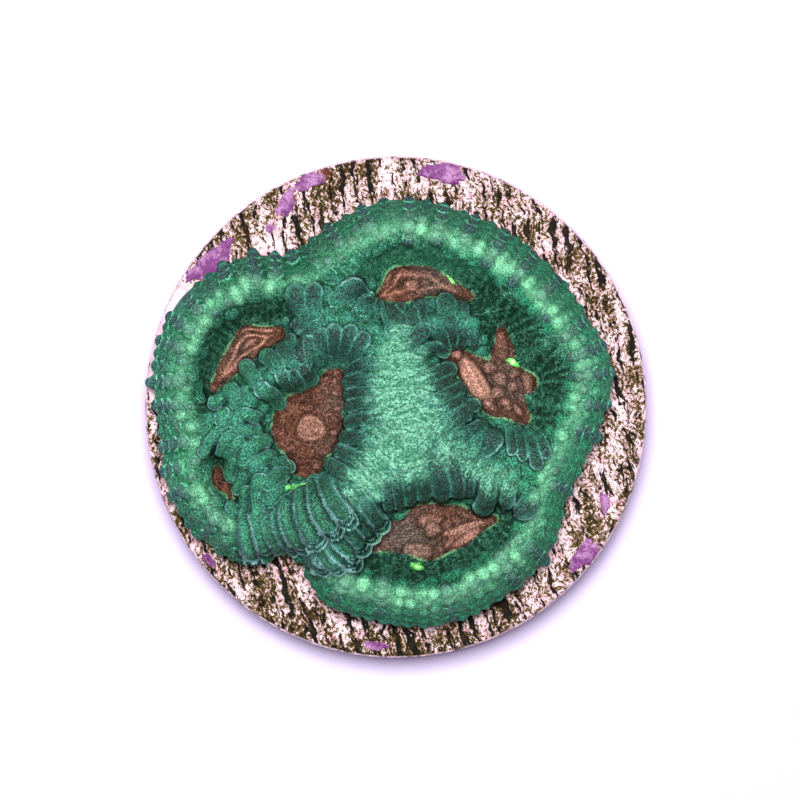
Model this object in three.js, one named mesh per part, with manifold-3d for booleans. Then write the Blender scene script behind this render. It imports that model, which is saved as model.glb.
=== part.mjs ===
// A brain coral colony grown on a round wire-cut ceramic disc, with crusts of coralline algae
// on the bare rim of the disc. Millimetres, +Z up. The origin is the middle of the disc's
// underside. The colony's two notches are on its -X side, one towards +Y and one towards -Y.
import * as THREE from "three";
import { mergeVertices } from "three/addons/utils/BufferGeometryUtils.js";
import Module from "manifold-3d";

const wasm = await Module();
wasm.setup();

// Driving dimensions of the ceramic disc.
const disc = { radius: 25, thickness: 6, shoulder: 0.6, foot: 0.4, sides: 96 };

// Furrows that the cutting wire dragged across the disc's top face.
const furrow = { count: 26, pitch: 2.1, width: 0.7, depth: 0.3, lean: 15, fan: 5, length: 60 };

// The living edge of the colony, anticlockwise from the +X side.
const coralEdge = [
  [21.5, 1.0], [21.4, 4.9], [19.2, 9.1], [15.8, 13.8], [11.3, 17.5], [6.1, 19.8],
  [0.5, 20.9], [-4.3, 19.6], [-8.3, 17.1], [-10.6, 15.3], [-14.5, 15.3], [-18.1, 13.6],
  [-21.6, 10.9], [-23.7, 6.6], [-24.3, 2.2], [-23.4, -3.4], [-22.8, -8.3], [-20.3, -12.5],
  [-16.3, -15.4], [-14.2, -15.9], [-12.2, -15.3], [-10.9, -15.0], [-9.5, -15.8], [-8.4, -18.1], [-6.9, -19.8],
  [-4.2, -20.9], [2.3, -22.0],
  [7.4, -21.0], [12.9, -17.5], [15.9, -13.7], [17.1, -9.4], [18.9, -5.6],
];
const coralMiddle = new THREE.Vector2(-1.3, -0.5);

// The mouths: each is a chain of [x, y, half-width] along the floor of its valley.
const mouths = {
  northwest: [[-18.0, 1.9, 0.3], [-16.4, 4.1, 0.95], [-14.4, 6.5, 1.5], [-11.7, 7.2, 0.65]],
  middle: [[-5.9, 3.4, 0.75], [-6.9, 1.0, 1.7], [-8.7, -1.9, 3.4], [-8.9, -5.2, 1.7]],
  southwest: [[-17.7, -6.5, 0.55], [-17.3, -7.3, 0.75], [-16.4, -8.9, 0.25]],
  north: [[-1.6, 10.9, 0.4], [0.6, 12.1, 1.75], [2.9, 12.4, 1.4], [5.6, 11.6, 0.8], [7.3, 10.9, 0.3]],
  east: [[5.8, 5.0, 0.8], [8.1, 3.1, 1.7], [10.3, 1.2, 2.2], [12.6, -1.0, 0.6]],
  eastArm: [[10.4, 7.4, 0.4], [10.6, 5.7, 0.9], [10.3, 3.2, 1.5], [13.0, 2.4, 0.9]],
  south: [[-2.0, -13.9, 0.3], [0.4, -12.8, 1.5], [3.2, -12.3, 2.7], [5.9, -11.8, 2.0], [9.6, -11.1, 0.35]],
};
// The north mouth and both arms of the east mouth share one winding valley.
const sharedValley = { eastArm: "east", north: "east" };

// Relief of the colony, measured up from the disc's top face.
const relief = {
  crown: 10.2, // top of the hump in the middle
  rimCrest: 7.4, // top of the outer wall
  crownSpread: 11, // how far the hump reaches
  valleyDepth: 4.2, // from a wall's top to a mouth's floor
  rise: 3.4, // how far from a mouth's floor its wall is full height
  rimWidth: 3.7, // from the living edge in to the outer wall's top
  lip: 1.5, // height of the living edge
  lipUndercut: 0.7, // how far the colony's foot lies inside its edge
  softness: 0.7, // how far the flesh rounds off the shape under it
};
const coralMesh = { spokes: 108, rings: 26 };
const fleshSamples = 8;

// Coralline crusts: middle, half-sizes, turn in degrees.
const crustThickness = 0.45;
const crustEdgeFall = 0.6; // share of the thickness lost by the edge
const crustUndercut = 0.1;
const crusts = {
  coralline_crust_west: { at: [-18.3, 14.4], half: [2.9, 1.1], turn: 42 },
  coralline_crust_northwest: { at: [-10.9, 20.2], half: [1.5, 0.8], turn: 68 },
  coralline_crust_speck: { at: [-12.5, 17.7], half: [0.5, 0.4], turn: 20 },
  coralline_crust_northwest_rim: { at: [-8.6, 22.4], half: [1.6, 0.8], turn: 22 },
  coralline_crust_north: { at: [4.7, 23.2], half: [2.3, 1.0], turn: -8 },
  coralline_crust_southeast: { at: [18.7, -14.7], half: [1.9, 1.0], turn: 48 },
  coralline_crust_east: { at: [20.7, -9.5], half: [1.1, 0.5], turn: 100 },
  coralline_crust_south_rim: { at: [-2.0, -23.7], half: [1.3, 0.45], turn: -4 },
  coralline_crust_southwest: { at: [-18.6, -15.2], half: [0.9, 0.4], turn: -52 },
};
const crustMesh = { spokes: 24, rings: 4 };

const finishes = {
  disc: { color: 0xe6cfd0, roughness: 0.9, metalness: 0 },
  coral: { color: 0x2f8560, roughness: 0.35, metalness: 0 },
  crust: { color: 0x8a4a94, roughness: 0.75, metalness: 0 },
};

function piece(name, geometry, finish) {
  const mesh = new THREE.Mesh(geometry, new THREE.MeshStandardMaterial(finish));
  mesh.name = name;
  return mesh;
}

function solidFrom(geometry) {
  const bare = geometry.clone();
  bare.deleteAttribute("normal");
  bare.deleteAttribute("uv");
  const merged = mergeVertices(bare, 1e-4);
  return new wasm.Manifold(
    new wasm.Mesh({
      numProp: 3,
      vertProperties: new Float32Array(merged.attributes.position.array),
      triVerts: new Uint32Array(merged.index.array),
    }),
  );
}

function geometryFrom(solid) {
  const mesh = solid.getMesh();
  const geometry = new THREE.BufferGeometry();
  geometry.setAttribute("position", new THREE.BufferAttribute(mesh.vertProperties, 3));
  geometry.setIndex(new THREE.BufferAttribute(mesh.triVerts, 1));
  geometry.computeVertexNormals();
  return geometry;
}

// The disc: a turned blank with a worn shoulder and foot, scored by the wire's furrows.
function discGeometry() {
  const { radius, thickness, shoulder, foot, sides } = disc;
  const profile = [
    [0, 0],
    [radius - foot, 0],
    [radius, foot],
    [radius, thickness - shoulder],
    [radius - shoulder, thickness],
    [0, thickness],
  ].map(([r, z]) => new THREE.Vector2(r, z));
  const blank = new THREE.LatheGeometry(profile, sides).rotateX(Math.PI / 2);
  let scored = solidFrom(blank);
  for (let i = 0; i < furrow.count; i++) {
    scored = scored.subtract(solidFrom(furrowCutter(i)));
  }
  return geometryFrom(scored);
}

// A V-shaped cutter for one furrow. The furrows fan out a little from one side to the other.
function furrowCutter(index) {
  const { count, pitch, width, depth, lean, fan, length } = furrow;
  const share = index - (count - 1) / 2;
  const section = new THREE.Shape([
    new THREE.Vector2(-width, depth),
    new THREE.Vector2(0, -depth),
    new THREE.Vector2(width, depth),
  ]);
  const cutter = new THREE.ExtrudeGeometry(section, { depth: length, bevelEnabled: false });
  cutter.translate(0, 0, -length / 2).rotateX(Math.PI / 2);
  const turn = lean + (fan * share) / (count / 2);
  return cutter
    .rotateZ(THREE.MathUtils.degToRad(turn))
    .translate(share * pitch, 0, disc.thickness);
}

const edgeCurve = new THREE.CatmullRomCurve3(
  coralEdge.map(([x, y]) => new THREE.Vector3(x, y, 0)),
  true,
);
const edgeSamples = edgeCurve.getSpacedPoints(360).map((p) => new THREE.Vector2(p.x, p.y));

function distanceToEdge(p) {
  return Math.min(...edgeSamples.map((q) => q.distanceTo(p)));
}

// Distance from a point to the edge of a mouth's floor, zero on the floor itself.
function distanceToFloor(p, chain) {
  let nearest = Infinity;
  for (let i = 0; i + 1 < chain.length; i++) {
    const [x0, y0, r0] = chain[i];
    const [x1, y1, r1] = chain[i + 1];
    const along = new THREE.Vector2(x1 - x0, y1 - y0);
    const from = new THREE.Vector2(p.x - x0, p.y - y0);
    const t = THREE.MathUtils.clamp(from.dot(along) / along.lengthSq(), 0, 1);
    const gap = from.sub(along.multiplyScalar(t)).length() - THREE.MathUtils.lerp(r0, r1, t);
    nearest = Math.min(nearest, gap);
  }
  return Math.max(nearest, 0);
}

// Distances to the nearest valley and to the next one.
function twoNearestValleys(p) {
  const byValley = {};
  for (const [name, chain] of Object.entries(mouths)) {
    const valley = sharedValley[name] ?? name;
    byValley[valley] = Math.min(byValley[valley] ?? Infinity, distanceToFloor(p, chain));
  }
  return Object.values(byValley).sort((a, b) => a - b);
}

// Height of the colony's skeleton over the disc's top face.
function skeletonHeight(p) {
  const { crown, rimCrest, crownSpread, valleyDepth, rise, rimWidth, lip } = relief;
  const fromEdge = distanceToEdge(p);
  const hump = rimCrest + (crown - rimCrest) * Math.exp(-p.lengthSq() / crownSpread ** 2);
  if (fromEdge < rimWidth) {
    return lip + (hump - lip) * Math.sin((fromEdge / rimWidth) * (Math.PI / 2)) ** 0.8;
  }
  const [first, second] = twoNearestValleys(p);
  const halfWall = Math.min(first + fromEdge - rimWidth, (first + second) / 2);
  const climb = THREE.MathUtils.smoothstep(first / Math.min(halfWall, rise), 0, 1);
  const depth = valleyDepth * Math.min(1, halfWall / rise) ** 0.35;
  return hump - depth * (1 - climb) - (valleyDepth - depth) * 0.3;
}

// Height of the flesh, which evens out the skeleton around each point.
function coralHeight(p) {
  let sum = skeletonHeight(p);
  for (let i = 0; i < fleshSamples; i++) {
    const angle = (i / fleshSamples) * 2 * Math.PI;
    const around = new THREE.Vector2(Math.cos(angle), Math.sin(angle));
    sum += skeletonHeight(around.multiplyScalar(relief.softness).add(p));
  }
  return sum / (fleshSamples + 1);
}

// A mound on the disc's top face: rings of points from its middle out to its rim, then in to its
// foot. heightOf gives the height at a point and at its share of the way out.
function moundGeometry(middle, rim, rings, undercut, heightOf) {
  const base = disc.thickness;
  const spokes = rim.length;
  const vertices = [middle.x, middle.y, base + heightOf(middle, 0)];
  for (let ring = 1; ring <= rings; ring++) {
    for (const edge of rim) {
      const p = middle.clone().lerp(edge, ring / rings);
      vertices.push(p.x, p.y, base + heightOf(p, ring / rings));
    }
  }
  for (const edge of rim) {
    const foot = middle.clone().sub(edge).setLength(undercut).add(edge);
    vertices.push(foot.x, foot.y, base);
  }
  vertices.push(middle.x, middle.y, base);

  const triangles = [];
  const at = (ring, spoke) => 1 + (ring - 1) * spokes + (spoke % spokes);
  const footMiddle = 1 + (rings + 1) * spokes;
  for (let s = 0; s < spokes; s++) {
    triangles.push(0, at(1, s), at(1, s + 1));
    for (let ring = 1; ring <= rings; ring++) {
      triangles.push(at(ring, s), at(ring + 1, s), at(ring + 1, s + 1));
      triangles.push(at(ring, s), at(ring + 1, s + 1), at(ring, s + 1));
    }
    triangles.push(footMiddle, at(rings + 1, s + 1), at(rings + 1, s));
  }
  const geometry = new THREE.BufferGeometry();
  geometry.setAttribute("position", new THREE.Float32BufferAttribute(vertices, 3));
  geometry.setIndex(triangles);
  geometry.computeVertexNormals();
  return geometry;
}

function coralGeometry() {
  const { spokes, rings } = coralMesh;
  const rim = edgeCurve
    .getSpacedPoints(spokes)
    .slice(0, spokes)
    .map((p) => new THREE.Vector2(p.x, p.y));
  const heightOf = (p, share) => (share === 1 ? relief.lip : coralHeight(p));
  return moundGeometry(coralMiddle, rim, rings, relief.lipUndercut, heightOf);
}

// A crust: a thin lobed patch with a rounded edge, kept on the disc's flat top.
function crustGeometry({ at, half, turn }, index) {
  const middle = new THREE.Vector2(...at);
  const turned = THREE.MathUtils.degToRad(turn);
  const flatTop = disc.radius - disc.shoulder;
  const rim = [];
  for (let i = 0; i < crustMesh.spokes; i++) {
    const angle = (i / crustMesh.spokes) * 2 * Math.PI;
    const lobes = 1 + 0.13 * Math.sin(3 * angle + index) + 0.08 * Math.sin(5 * angle + 2 * index);
    const p = new THREE.Vector2(half[0] * Math.cos(angle), half[1] * Math.sin(angle))
      .multiplyScalar(lobes)
      .rotateAround(new THREE.Vector2(), turned)
      .add(middle);
    rim.push(p.clampLength(0, flatTop));
  }
  const heightOf = (p, share) => crustThickness * (1 - crustEdgeFall * share ** 4);
  return moundGeometry(middle, rim, crustMesh.rings, crustUndercut, heightOf);
}

const brainCoral = new THREE.Group();
brainCoral.add(piece("ceramic_disc", discGeometry(), finishes.disc));
brainCoral.add(piece("coral_colony", coralGeometry(), finishes.coral));
Object.entries(crusts).forEach(([name, crust], index) => {
  brainCoral.add(piece(name, crustGeometry(crust, index), finishes.crust));
});

export default brainCoral;
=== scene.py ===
import math

import bpy
import numpy as np
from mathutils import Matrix, Vector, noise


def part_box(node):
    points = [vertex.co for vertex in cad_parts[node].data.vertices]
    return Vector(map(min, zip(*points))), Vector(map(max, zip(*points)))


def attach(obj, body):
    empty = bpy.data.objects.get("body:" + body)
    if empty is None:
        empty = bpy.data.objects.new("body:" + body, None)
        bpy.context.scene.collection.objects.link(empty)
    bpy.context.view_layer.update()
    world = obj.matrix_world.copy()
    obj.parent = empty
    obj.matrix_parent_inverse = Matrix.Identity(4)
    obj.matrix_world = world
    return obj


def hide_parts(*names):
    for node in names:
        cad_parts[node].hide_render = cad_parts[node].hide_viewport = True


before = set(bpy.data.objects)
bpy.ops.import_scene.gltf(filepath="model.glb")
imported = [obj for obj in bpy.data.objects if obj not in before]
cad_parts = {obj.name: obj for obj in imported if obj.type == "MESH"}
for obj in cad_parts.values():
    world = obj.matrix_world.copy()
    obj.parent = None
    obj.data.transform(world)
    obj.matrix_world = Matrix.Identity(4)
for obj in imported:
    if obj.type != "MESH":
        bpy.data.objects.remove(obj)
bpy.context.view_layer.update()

mm = 0.001  # shapes are worked out in millimetres, meshes are written in metres
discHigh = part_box("ceramic_disc")[1] / mm
topFace = discHigh.z
rimRadius = discHigh.x
picturePixels = 800
pixelSize = 50.0 / 504  # millimetres on the disc's top face for one pixel of the picture


# Small helpers for trees, meshes and colours
def srgb(*channels):
    def linear(share):
        return share / 12.92 if share < 0.0405 else ((share + 0.055) / 1.055) ** 2.4

    return (*(linear(channel / 255) for channel in channels), 1.0)


def openSocket(sockets, name):
    if isinstance(name, int):
        return sockets[name]
    return next(s for s in sockets if s.enabled and s.name == name)


def addNode(tree, kind, feeds=None, **settings):
    node = tree.nodes.new(kind)
    for key, value in settings.items():
        setattr(node, key, value)
    for name, value in (feeds or {}).items():
        socket = openSocket(node.inputs, name)
        if isinstance(value, bpy.types.NodeSocket):
            tree.links.new(value, socket)
        else:
            socket.default_value = value
    return node


def out(node, name=0):
    return openSocket(node.outputs, name)


def calc(tree, operation, a, b=0.0, c=0.0, clamp=False):
    return out(addNode(tree, "ShaderNodeMath", {0: a, 1: b, 2: c}, operation=operation, use_clamp=clamp))


def times(tree, first, *others):
    for other in others:
        first = calc(tree, "MULTIPLY", first, other)
    return first


def timesPlus(tree, value, factor, rest):
    return calc(tree, "MULTIPLY_ADD", value, factor, rest)


def vectorCalc(tree, operation, a, b=(0, 0, 0), result="Vector"):
    return out(addNode(tree, "ShaderNodeVectorMath", {0: a, 1: b}, operation=operation), result)


def scaled(tree, vector, factor):
    feeds = {0: vector, "Scale": factor}
    return out(addNode(tree, "ShaderNodeVectorMath", feeds, operation="SCALE"), "Vector")


def lengthOf(tree, vector):
    return vectorCalc(tree, "LENGTH", vector, result="Value")


def axisOf(tree, vector, axis):
    return out(addNode(tree, "ShaderNodeSeparateXYZ", {0: vector}), axis)


def position(tree):
    return out(addNode(tree, "GeometryNodeInputPosition"))


def objectPlace(tree):
    return out(addNode(tree, "ShaderNodeTexCoord"), "Object")


def ramp(tree, value, low, high, start=0.0, end=1.0, smooth=True):
    kind = "SMOOTHSTEP" if smooth else "LINEAR"
    feeds = {"Value": value, "From Min": low, "From Max": high, "To Min": start, "To Max": end}
    return out(addNode(tree, "ShaderNodeMapRange", feeds, interpolation_type=kind), "Result")


def band(tree, value, rise, fall):
    return times(tree, ramp(tree, value, *rise), ramp(tree, value, *fall))


def waveLines(tree, run, step, wobble, low):
    # thin lines, one for every step of a run
    turns = timesPlus(tree, run, 2 * math.pi / step, wobble)
    return ramp(tree, calc(tree, "SINE", turns), low, 0.95)


def cloud(tree, vector, scale, detail=2.0, roughness=0.5):
    feeds = {"Vector": vector, "Scale": scale, "Detail": detail, "Roughness": roughness}
    return out(addNode(tree, "ShaderNodeTexNoise", feeds, noise_dimensions="3D"), 0)


def blendColour(tree, factor, first, second, blend="MIX"):
    feeds = {"Factor": factor, "A": first, "B": second}
    return out(addNode(tree, "ShaderNodeMix", feeds, data_type="RGBA", blend_type=blend), "Result")


def paint(tree, colour, layers):
    # lays each colour over what is there, by its mask
    for mask, over in layers:
        colour = blendColour(tree, mask, colour, over)
    return colour


def blendNumber(tree, factor, first, second):
    return timesPlus(tree, factor, calc(tree, "SUBTRACT", second, first), first)


def newObject(name, mesh):
    made = bpy.data.objects.new(name, mesh)
    bpy.context.scene.collection.objects.link(made)
    return made


def newMesh(name, points, faces, values=None):
    mesh = bpy.data.meshes.new(name)
    mesh.from_pydata((np.asarray(points) * mm).tolist(), [], faces)
    for key, value in (values or {}).items():
        value = np.asarray(value, np.float32)
        kind, field = ("FLOAT_VECTOR", "vector") if value.ndim == 2 else ("FLOAT", "value")
        mesh.attributes.new(key, kind, "POINT").data.foreach_set(field, value.ravel())
    mesh.update()
    return mesh


def newGeometryTree(name, inputs):
    tree = bpy.data.node_groups.new(name, "GeometryNodeTree")
    tree.interface.new_socket("Geometry", in_out="INPUT", socket_type="NodeSocketGeometry")
    for key, (kind, value) in inputs.items():
        socket = tree.interface.new_socket(key, in_out="INPUT", socket_type=kind)
        if value is not None:
            socket.default_value = value
    tree.interface.new_socket("Geometry", in_out="OUTPUT", socket_type="NodeSocketGeometry")
    return tree, tree.nodes.new("NodeGroupInput"), tree.nodes.new("NodeGroupOutput")


def bakeTree(piece, tree, values):
    modifier = piece.modifiers.new(tree.name, "NODES")
    modifier.node_group = tree
    for item in tree.interface.items_tree:
        if item.in_out == "INPUT" and item.name in values:
            modifier[item.identifier] = values[item.name]
    evaluated = piece.evaluated_get(bpy.context.evaluated_depsgraph_get())
    mesh = bpy.data.meshes.new_from_object(evaluated)
    piece.modifiers.remove(modifier)
    old = piece.data
    piece.data = mesh
    mesh.name = piece.name
    bpy.data.meshes.remove(old)


def finishTree(tree, geometry, sink, material):
    smooth = addNode(tree, "GeometryNodeSetShadeSmooth", {"Geometry": geometry})
    whole = addNode(tree, "GeometryNodeRealizeInstances", {"Geometry": out(smooth)})
    painted = addNode(tree, "GeometryNodeSetMaterial", {"Geometry": out(whole), "Material": material})
    tree.links.new(out(painted), sink.inputs[0])


def store(tree, geometry, name, value, kind="FLOAT"):
    feeds = {"Geometry": geometry, "Name": name, "Value": value}
    return out(addNode(tree, "GeometryNodeStoreNamedAttribute", feeds, data_type=kind, domain="POINT"))


def named(tree, name, kind="FLOAT"):
    return out(addNode(tree, "GeometryNodeInputNamedAttribute", {"Name": name}, data_type=kind), "Attribute")


def blurred(tree, value, rounds, kind="FLOAT_VECTOR"):
    feeds = {"Value": value, "Iterations": rounds}
    return out(addNode(tree, "GeometryNodeBlurAttribute", feeds, data_type=kind))


def hexRings(rings):
    # a disc of triangles whose ring k has 6k points: ring number and turn of each point, and the faces
    ring = np.concatenate([[0]] + [np.full(6 * k, k) for k in range(1, rings + 1)])
    turn = np.concatenate([[0.0]] + [np.arange(6 * k) / (6 * k) for k in range(1, rings + 1)])
    faces = []
    for k in range(1, rings + 1):
        first = 1 + 3 * k * (k - 1)
        below = 1 + 3 * (k - 1) * (k - 2) if k > 1 else 0
        around, under = 6 * k, max(6 * (k - 1), 1)
        for side in range(6):
            for i in range(k):
                a = first + side * k + i
                b = first + (side * k + i + 1) % around
                c = below + (side * (k - 1) + i) % under
                faces.append((a, b, c))
                if i < k - 1:
                    faces.append((c, b, below + (side * (k - 1) + i + 1) % under))
    return ring, turn, faces


# Colony: outline, mouths and relief
colony = {
    "edge": [
        (21.5, 1.0), (21.4, 4.9), (19.2, 9.1), (15.8, 13.8), (11.3, 17.5), (6.1, 19.8), (0.5, 20.9),
        (-4.3, 19.6), (-8.3, 17.1), (-10.6, 15.3), (-14.5, 15.3), (-18.1, 13.6), (-21.6, 10.9),
        (-23.7, 6.6), (-24.3, 2.2), (-23.4, -3.4), (-22.8, -8.3), (-20.3, -12.5), (-16.3, -15.4),
        (-14.2, -15.9), (-12.2, -15.3), (-10.9, -15.0), (-9.5, -15.8), (-8.4, -18.1), (-6.9, -19.8),
        (-4.2, -20.9), (2.3, -22.0), (7.4, -21.0), (12.9, -17.5), (15.9, -13.7), (17.1, -9.4), (18.9, -5.6),
    ],
    "middle": (-1.3, -0.5),
    "mouths": {  # valley floors as chains of x, y and half-width
        "northwest": [(-18.0, 1.9, 0.3), (-16.4, 4.1, 0.95), (-14.4, 6.5, 1.5), (-11.7, 7.2, 0.65)],
        "middle": [(-5.9, 3.4, 0.75), (-6.9, 1.0, 1.7), (-8.7, -1.9, 3.4), (-8.9, -5.2, 1.7)],
        "southwest": [(-17.7, -6.5, 0.55), (-17.3, -7.3, 0.75), (-16.4, -8.9, 0.25)],
        "north": [
            (-1.6, 10.9, 0.4), (0.6, 12.1, 1.75), (2.9, 12.4, 1.4), (5.6, 11.6, 0.8), (7.3, 10.9, 0.3)],
        "east": [(5.8, 5.0, 0.8), (8.1, 3.1, 1.7), (10.3, 1.2, 2.2), (12.6, -1.0, 0.6)],
        "eastArm": [(10.4, 7.4, 0.4), (10.6, 5.7, 0.9), (10.3, 3.2, 1.5), (13.0, 2.4, 0.9)],
        "south": [
            (-2.0, -13.9, 0.3), (0.4, -12.8, 1.5), (3.2, -12.3, 2.7), (5.9, -11.8, 2.0), (9.6, -11.1, 0.35)],
    },
    "sharedValley": {"eastArm": "east", "north": "east"},
    "plateau": [  # chains of x, y, half-width for the pale middle
        [(0.9, 8.2, 0.6), (0.6, 4.6, 1.6), (0.8, 0.6, 3.0), (1.6, -4.0, 3.0), (3.4, -7.0, 1.0)],
        [(0.6, -3.5, 2.0), (-3.4, -7.6, 1.4), (-5.4, -9.6, 0.6)],
        [(2.0, -3.0, 2.0), (6.8, -6.0, 0.8), (10.5, -7.6, 0.7)],
    ],
    "crown": 10.2, "rimCrest": 7.4, "crownSpread": 11.0, "valleyDepth": 4.2, "rise": 3.4,
    "slopePower": 0.8, "thinnestWall": 0.05, "shallowing": 0.35, "shallowSink": 0.3, "outerBlend": 0.8,
    "rimWidth": 3.7, "reach": 20.5, "lip": 1.5, "lipUndercut": 0.7, "softness": 0.5, "awaySoftness": 0.4,
    "skinDrop": 0.6,  # the skin between beads lies this far under the bead tops
    "skinInset": 0.35,  # and this far inside the outline that the beads reach
    "rings": {"inside": 118, "rim": 46, "lip": 12},
    "mapStep": 0.1, "mapX": (-26.5, 24.5), "mapY": (-24.5, 23.5),
    "flowBreak": 20,  # keeps the streaks of one plateau chain apart from the next one's
}


def runAlong(path):
    return np.concatenate([[0], np.cumsum(np.linalg.norm(np.diff(path, axis=0), axis=1))])


def pointsAt(stops, run, path):
    return np.stack([np.interp(stops, run, path[:, axis]) for axis in (0, 1)], 1)


def unit(vectors, least=1e-9):
    return vectors / np.maximum(np.linalg.norm(vectors, axis=1), least)[:, None]


def closedCurve(knots, count, fineness=40):
    knots = np.array(knots, float)
    before, after, later = (np.roll(knots, shift, 0) for shift in (1, -1, -2))
    t = np.linspace(0, 1, fineness, endpoint=False)[:, None, None]
    fine = knots + 0.5 * (after - before) * t + 0.5 * (2 * before - 5 * knots + 4 * after - later) * t ** 2
    fine = fine + 0.5 * (3 * knots - before - 3 * after + later) * t ** 3
    fine = fine.transpose(1, 0, 2).reshape(-1, 2)
    fine = np.vstack([fine, fine[:1]])
    run = runAlong(fine)
    return pointsAt(np.linspace(0, run[-1], count, endpoint=False), run, fine), run[-1]


outlinePoints, outlineLength = closedCurve(colony["edge"], 600)
outlineAlong = np.roll(outlinePoints, -1, 0) - np.roll(outlinePoints, 1, 0)
outlineOut = unit(np.stack([outlineAlong[:, 1], -outlineAlong[:, 0]], 1))


def outlineAt(turn, table):
    place = (np.asarray(turn) % 1.0) * len(table)
    low = place.astype(int) % len(table)
    part = (place - np.floor(place))[..., None]
    return table[low] * (1 - part) + table[(low + 1) % len(table)] * part


def edgeDistance(points, batch=20000):
    # signed distance to the colony's outline, positive inside
    found = np.empty(len(points))
    for start in range(0, len(points), batch):
        part = points[start:start + batch]
        gap = ((part[:, None, :] - outlinePoints[None, :, :]) ** 2).sum(2)
        near = gap.argmin(1)
        inside = ((part - outlinePoints[near]) * outlineOut[near]).sum(1) < 0
        found[start:start + batch] = np.sqrt(gap[np.arange(len(part)), near]) * np.where(inside, 1, -1)
    return found


def chainDistance(points, chain):
    best = np.full(len(points), np.inf)
    for (ax, ay, aw), (bx, by, bw) in zip(chain, chain[1:]):
        along = np.array([bx - ax, by - ay])
        t = np.clip(((points - (ax, ay)) @ along) / (along @ along), 0, 1)
        gap = np.linalg.norm(points - (np.array([ax, ay]) + t[:, None] * along), axis=1)
        best = np.minimum(best, gap - (aw + (bw - aw) * t))
    return best


def nearestChain(points, chains):
    return np.minimum.reduce([chainDistance(points, chain) for chain in chains])


def paleGap(points):
    return nearestChain(points, colony["plateau"])


def floorGap(points):
    return nearestChain(points, colony["mouths"].values())


def plateauFlow(points):
    # place along and away from the middle line of the pale plateau, for streaks that run off to its sides
    nearest, flow = np.full(len(points), np.inf), np.zeros(len(points))
    run = 0.0
    for chain in colony["plateau"]:
        for (ax, ay, _), (bx, by, _) in zip(chain, chain[1:]):
            along = np.array([bx - ax, by - ay])
            length = np.linalg.norm(along)
            t = ((points - (ax, ay)) @ along) / length ** 2
            held = np.clip(t, 0, 1)
            gap = np.linalg.norm(points - (np.array([ax, ay]) + held[:, None] * along), axis=1)
            closer = gap < nearest
            nearest = np.where(closer, gap, nearest)
            flow = np.where(closer, run + t * length, flow)
            run += length
        run += colony["flowBreak"]
    return flow, nearest


def smoothstep(value, low, high):
    t = np.clip((value - low) / (high - low), 0, 1)
    return t * t * (3 - 2 * t)


def twoValleys(points):
    floors = {}
    for name, chain in colony["mouths"].items():
        home = colony["sharedValley"].get(name, name)
        gap = np.maximum(chainDistance(points, chain), 0)
        floors[home] = np.minimum(floors.get(home, np.inf), gap)
    gaps = np.sort(np.stack(list(floors.values())), axis=0)
    return gaps[0], gaps[1]


def reliefOf(points):
    c = colony
    fromEdge = edgeDistance(points)
    first, second = twoValleys(points)
    crown = np.exp(-(points ** 2).sum(1) / c["crownSpread"] ** 2)
    hump = c["rimCrest"] + (c["crown"] - c["rimCrest"]) * crown
    rimShare = np.clip(fromEdge / c["rimWidth"], 0, 1)
    slope = c["lip"] + (hump - c["lip"]) * np.sin(rimShare * math.pi / 2) ** c["slopePower"]
    toCrest, toRidge = first + fromEdge - c["rimWidth"], (first + second) / 2
    halfWall = np.maximum(np.minimum(toCrest, toRidge), c["thinnestWall"])
    climb = smoothstep(first / np.minimum(halfWall, c["rise"]), 0, 1)
    depth = c["valleyDepth"] * np.minimum(1, halfWall / c["rise"]) ** c["shallowing"]
    inner = hump - depth * (1 - climb) - (c["valleyDepth"] - depth) * c["shallowSink"]
    height = np.where(fromEdge < c["rimWidth"], slope, inner)
    outer = smoothstep(toRidge - toCrest, -c["outerBlend"], c["outerBlend"])
    return {"height": height, "fromEdge": fromEdge, "first": first, "halfWall": halfWall, "outer": outer}


def softMap(field, spread):
    reach = int(spread / colony["mapStep"] * 3)
    weights = np.exp(-0.5 * (np.arange(-reach, reach + 1) * colony["mapStep"] / spread) ** 2)
    weights /= weights.sum()
    for axis in (0, 1):
        field = sum(w * np.roll(field, shift, axis) for shift, w in zip(range(-reach, reach + 1), weights))
    return field


mapX, mapY = (np.arange(*colony[key], colony["mapStep"]) for key in ("mapX", "mapY"))
mapGrid = np.stack(np.meshgrid(mapX, mapY, indexing="xy"), -1)
reliefMap = reliefOf(mapGrid.reshape(-1, 2))
reliefMap = {key: field.reshape(mapGrid.shape[:2]) for key, field in reliefMap.items()}
reliefMap["height"] = softMap(reliefMap["height"], colony["softness"])
reliefMap["slopeY"], reliefMap["slopeX"] = np.gradient(reliefMap["height"], colony["mapStep"])
floorAway = softMap(reliefMap["first"], colony["awaySoftness"])
reliefMap["awayY"], reliefMap["awayX"] = np.gradient(floorAway, colony["mapStep"])


def readMap(key, points):
    field = reliefMap[key]
    x = np.clip((points[:, 0] - mapX[0]) / colony["mapStep"], 0, len(mapX) - 1.001)
    y = np.clip((points[:, 1] - mapY[0]) / colony["mapStep"], 0, len(mapY) - 1.001)
    i, j = x.astype(int), y.astype(int)
    u, v = x - i, y - j
    low = field[j, i] * (1 - u) + field[j, i + 1] * u
    return low * (1 - v) + (field[j + 1, i] * (1 - u) + field[j + 1, i + 1] * u) * v


print("colony relief mapped,", reliefMap["height"].size, "points")

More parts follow.
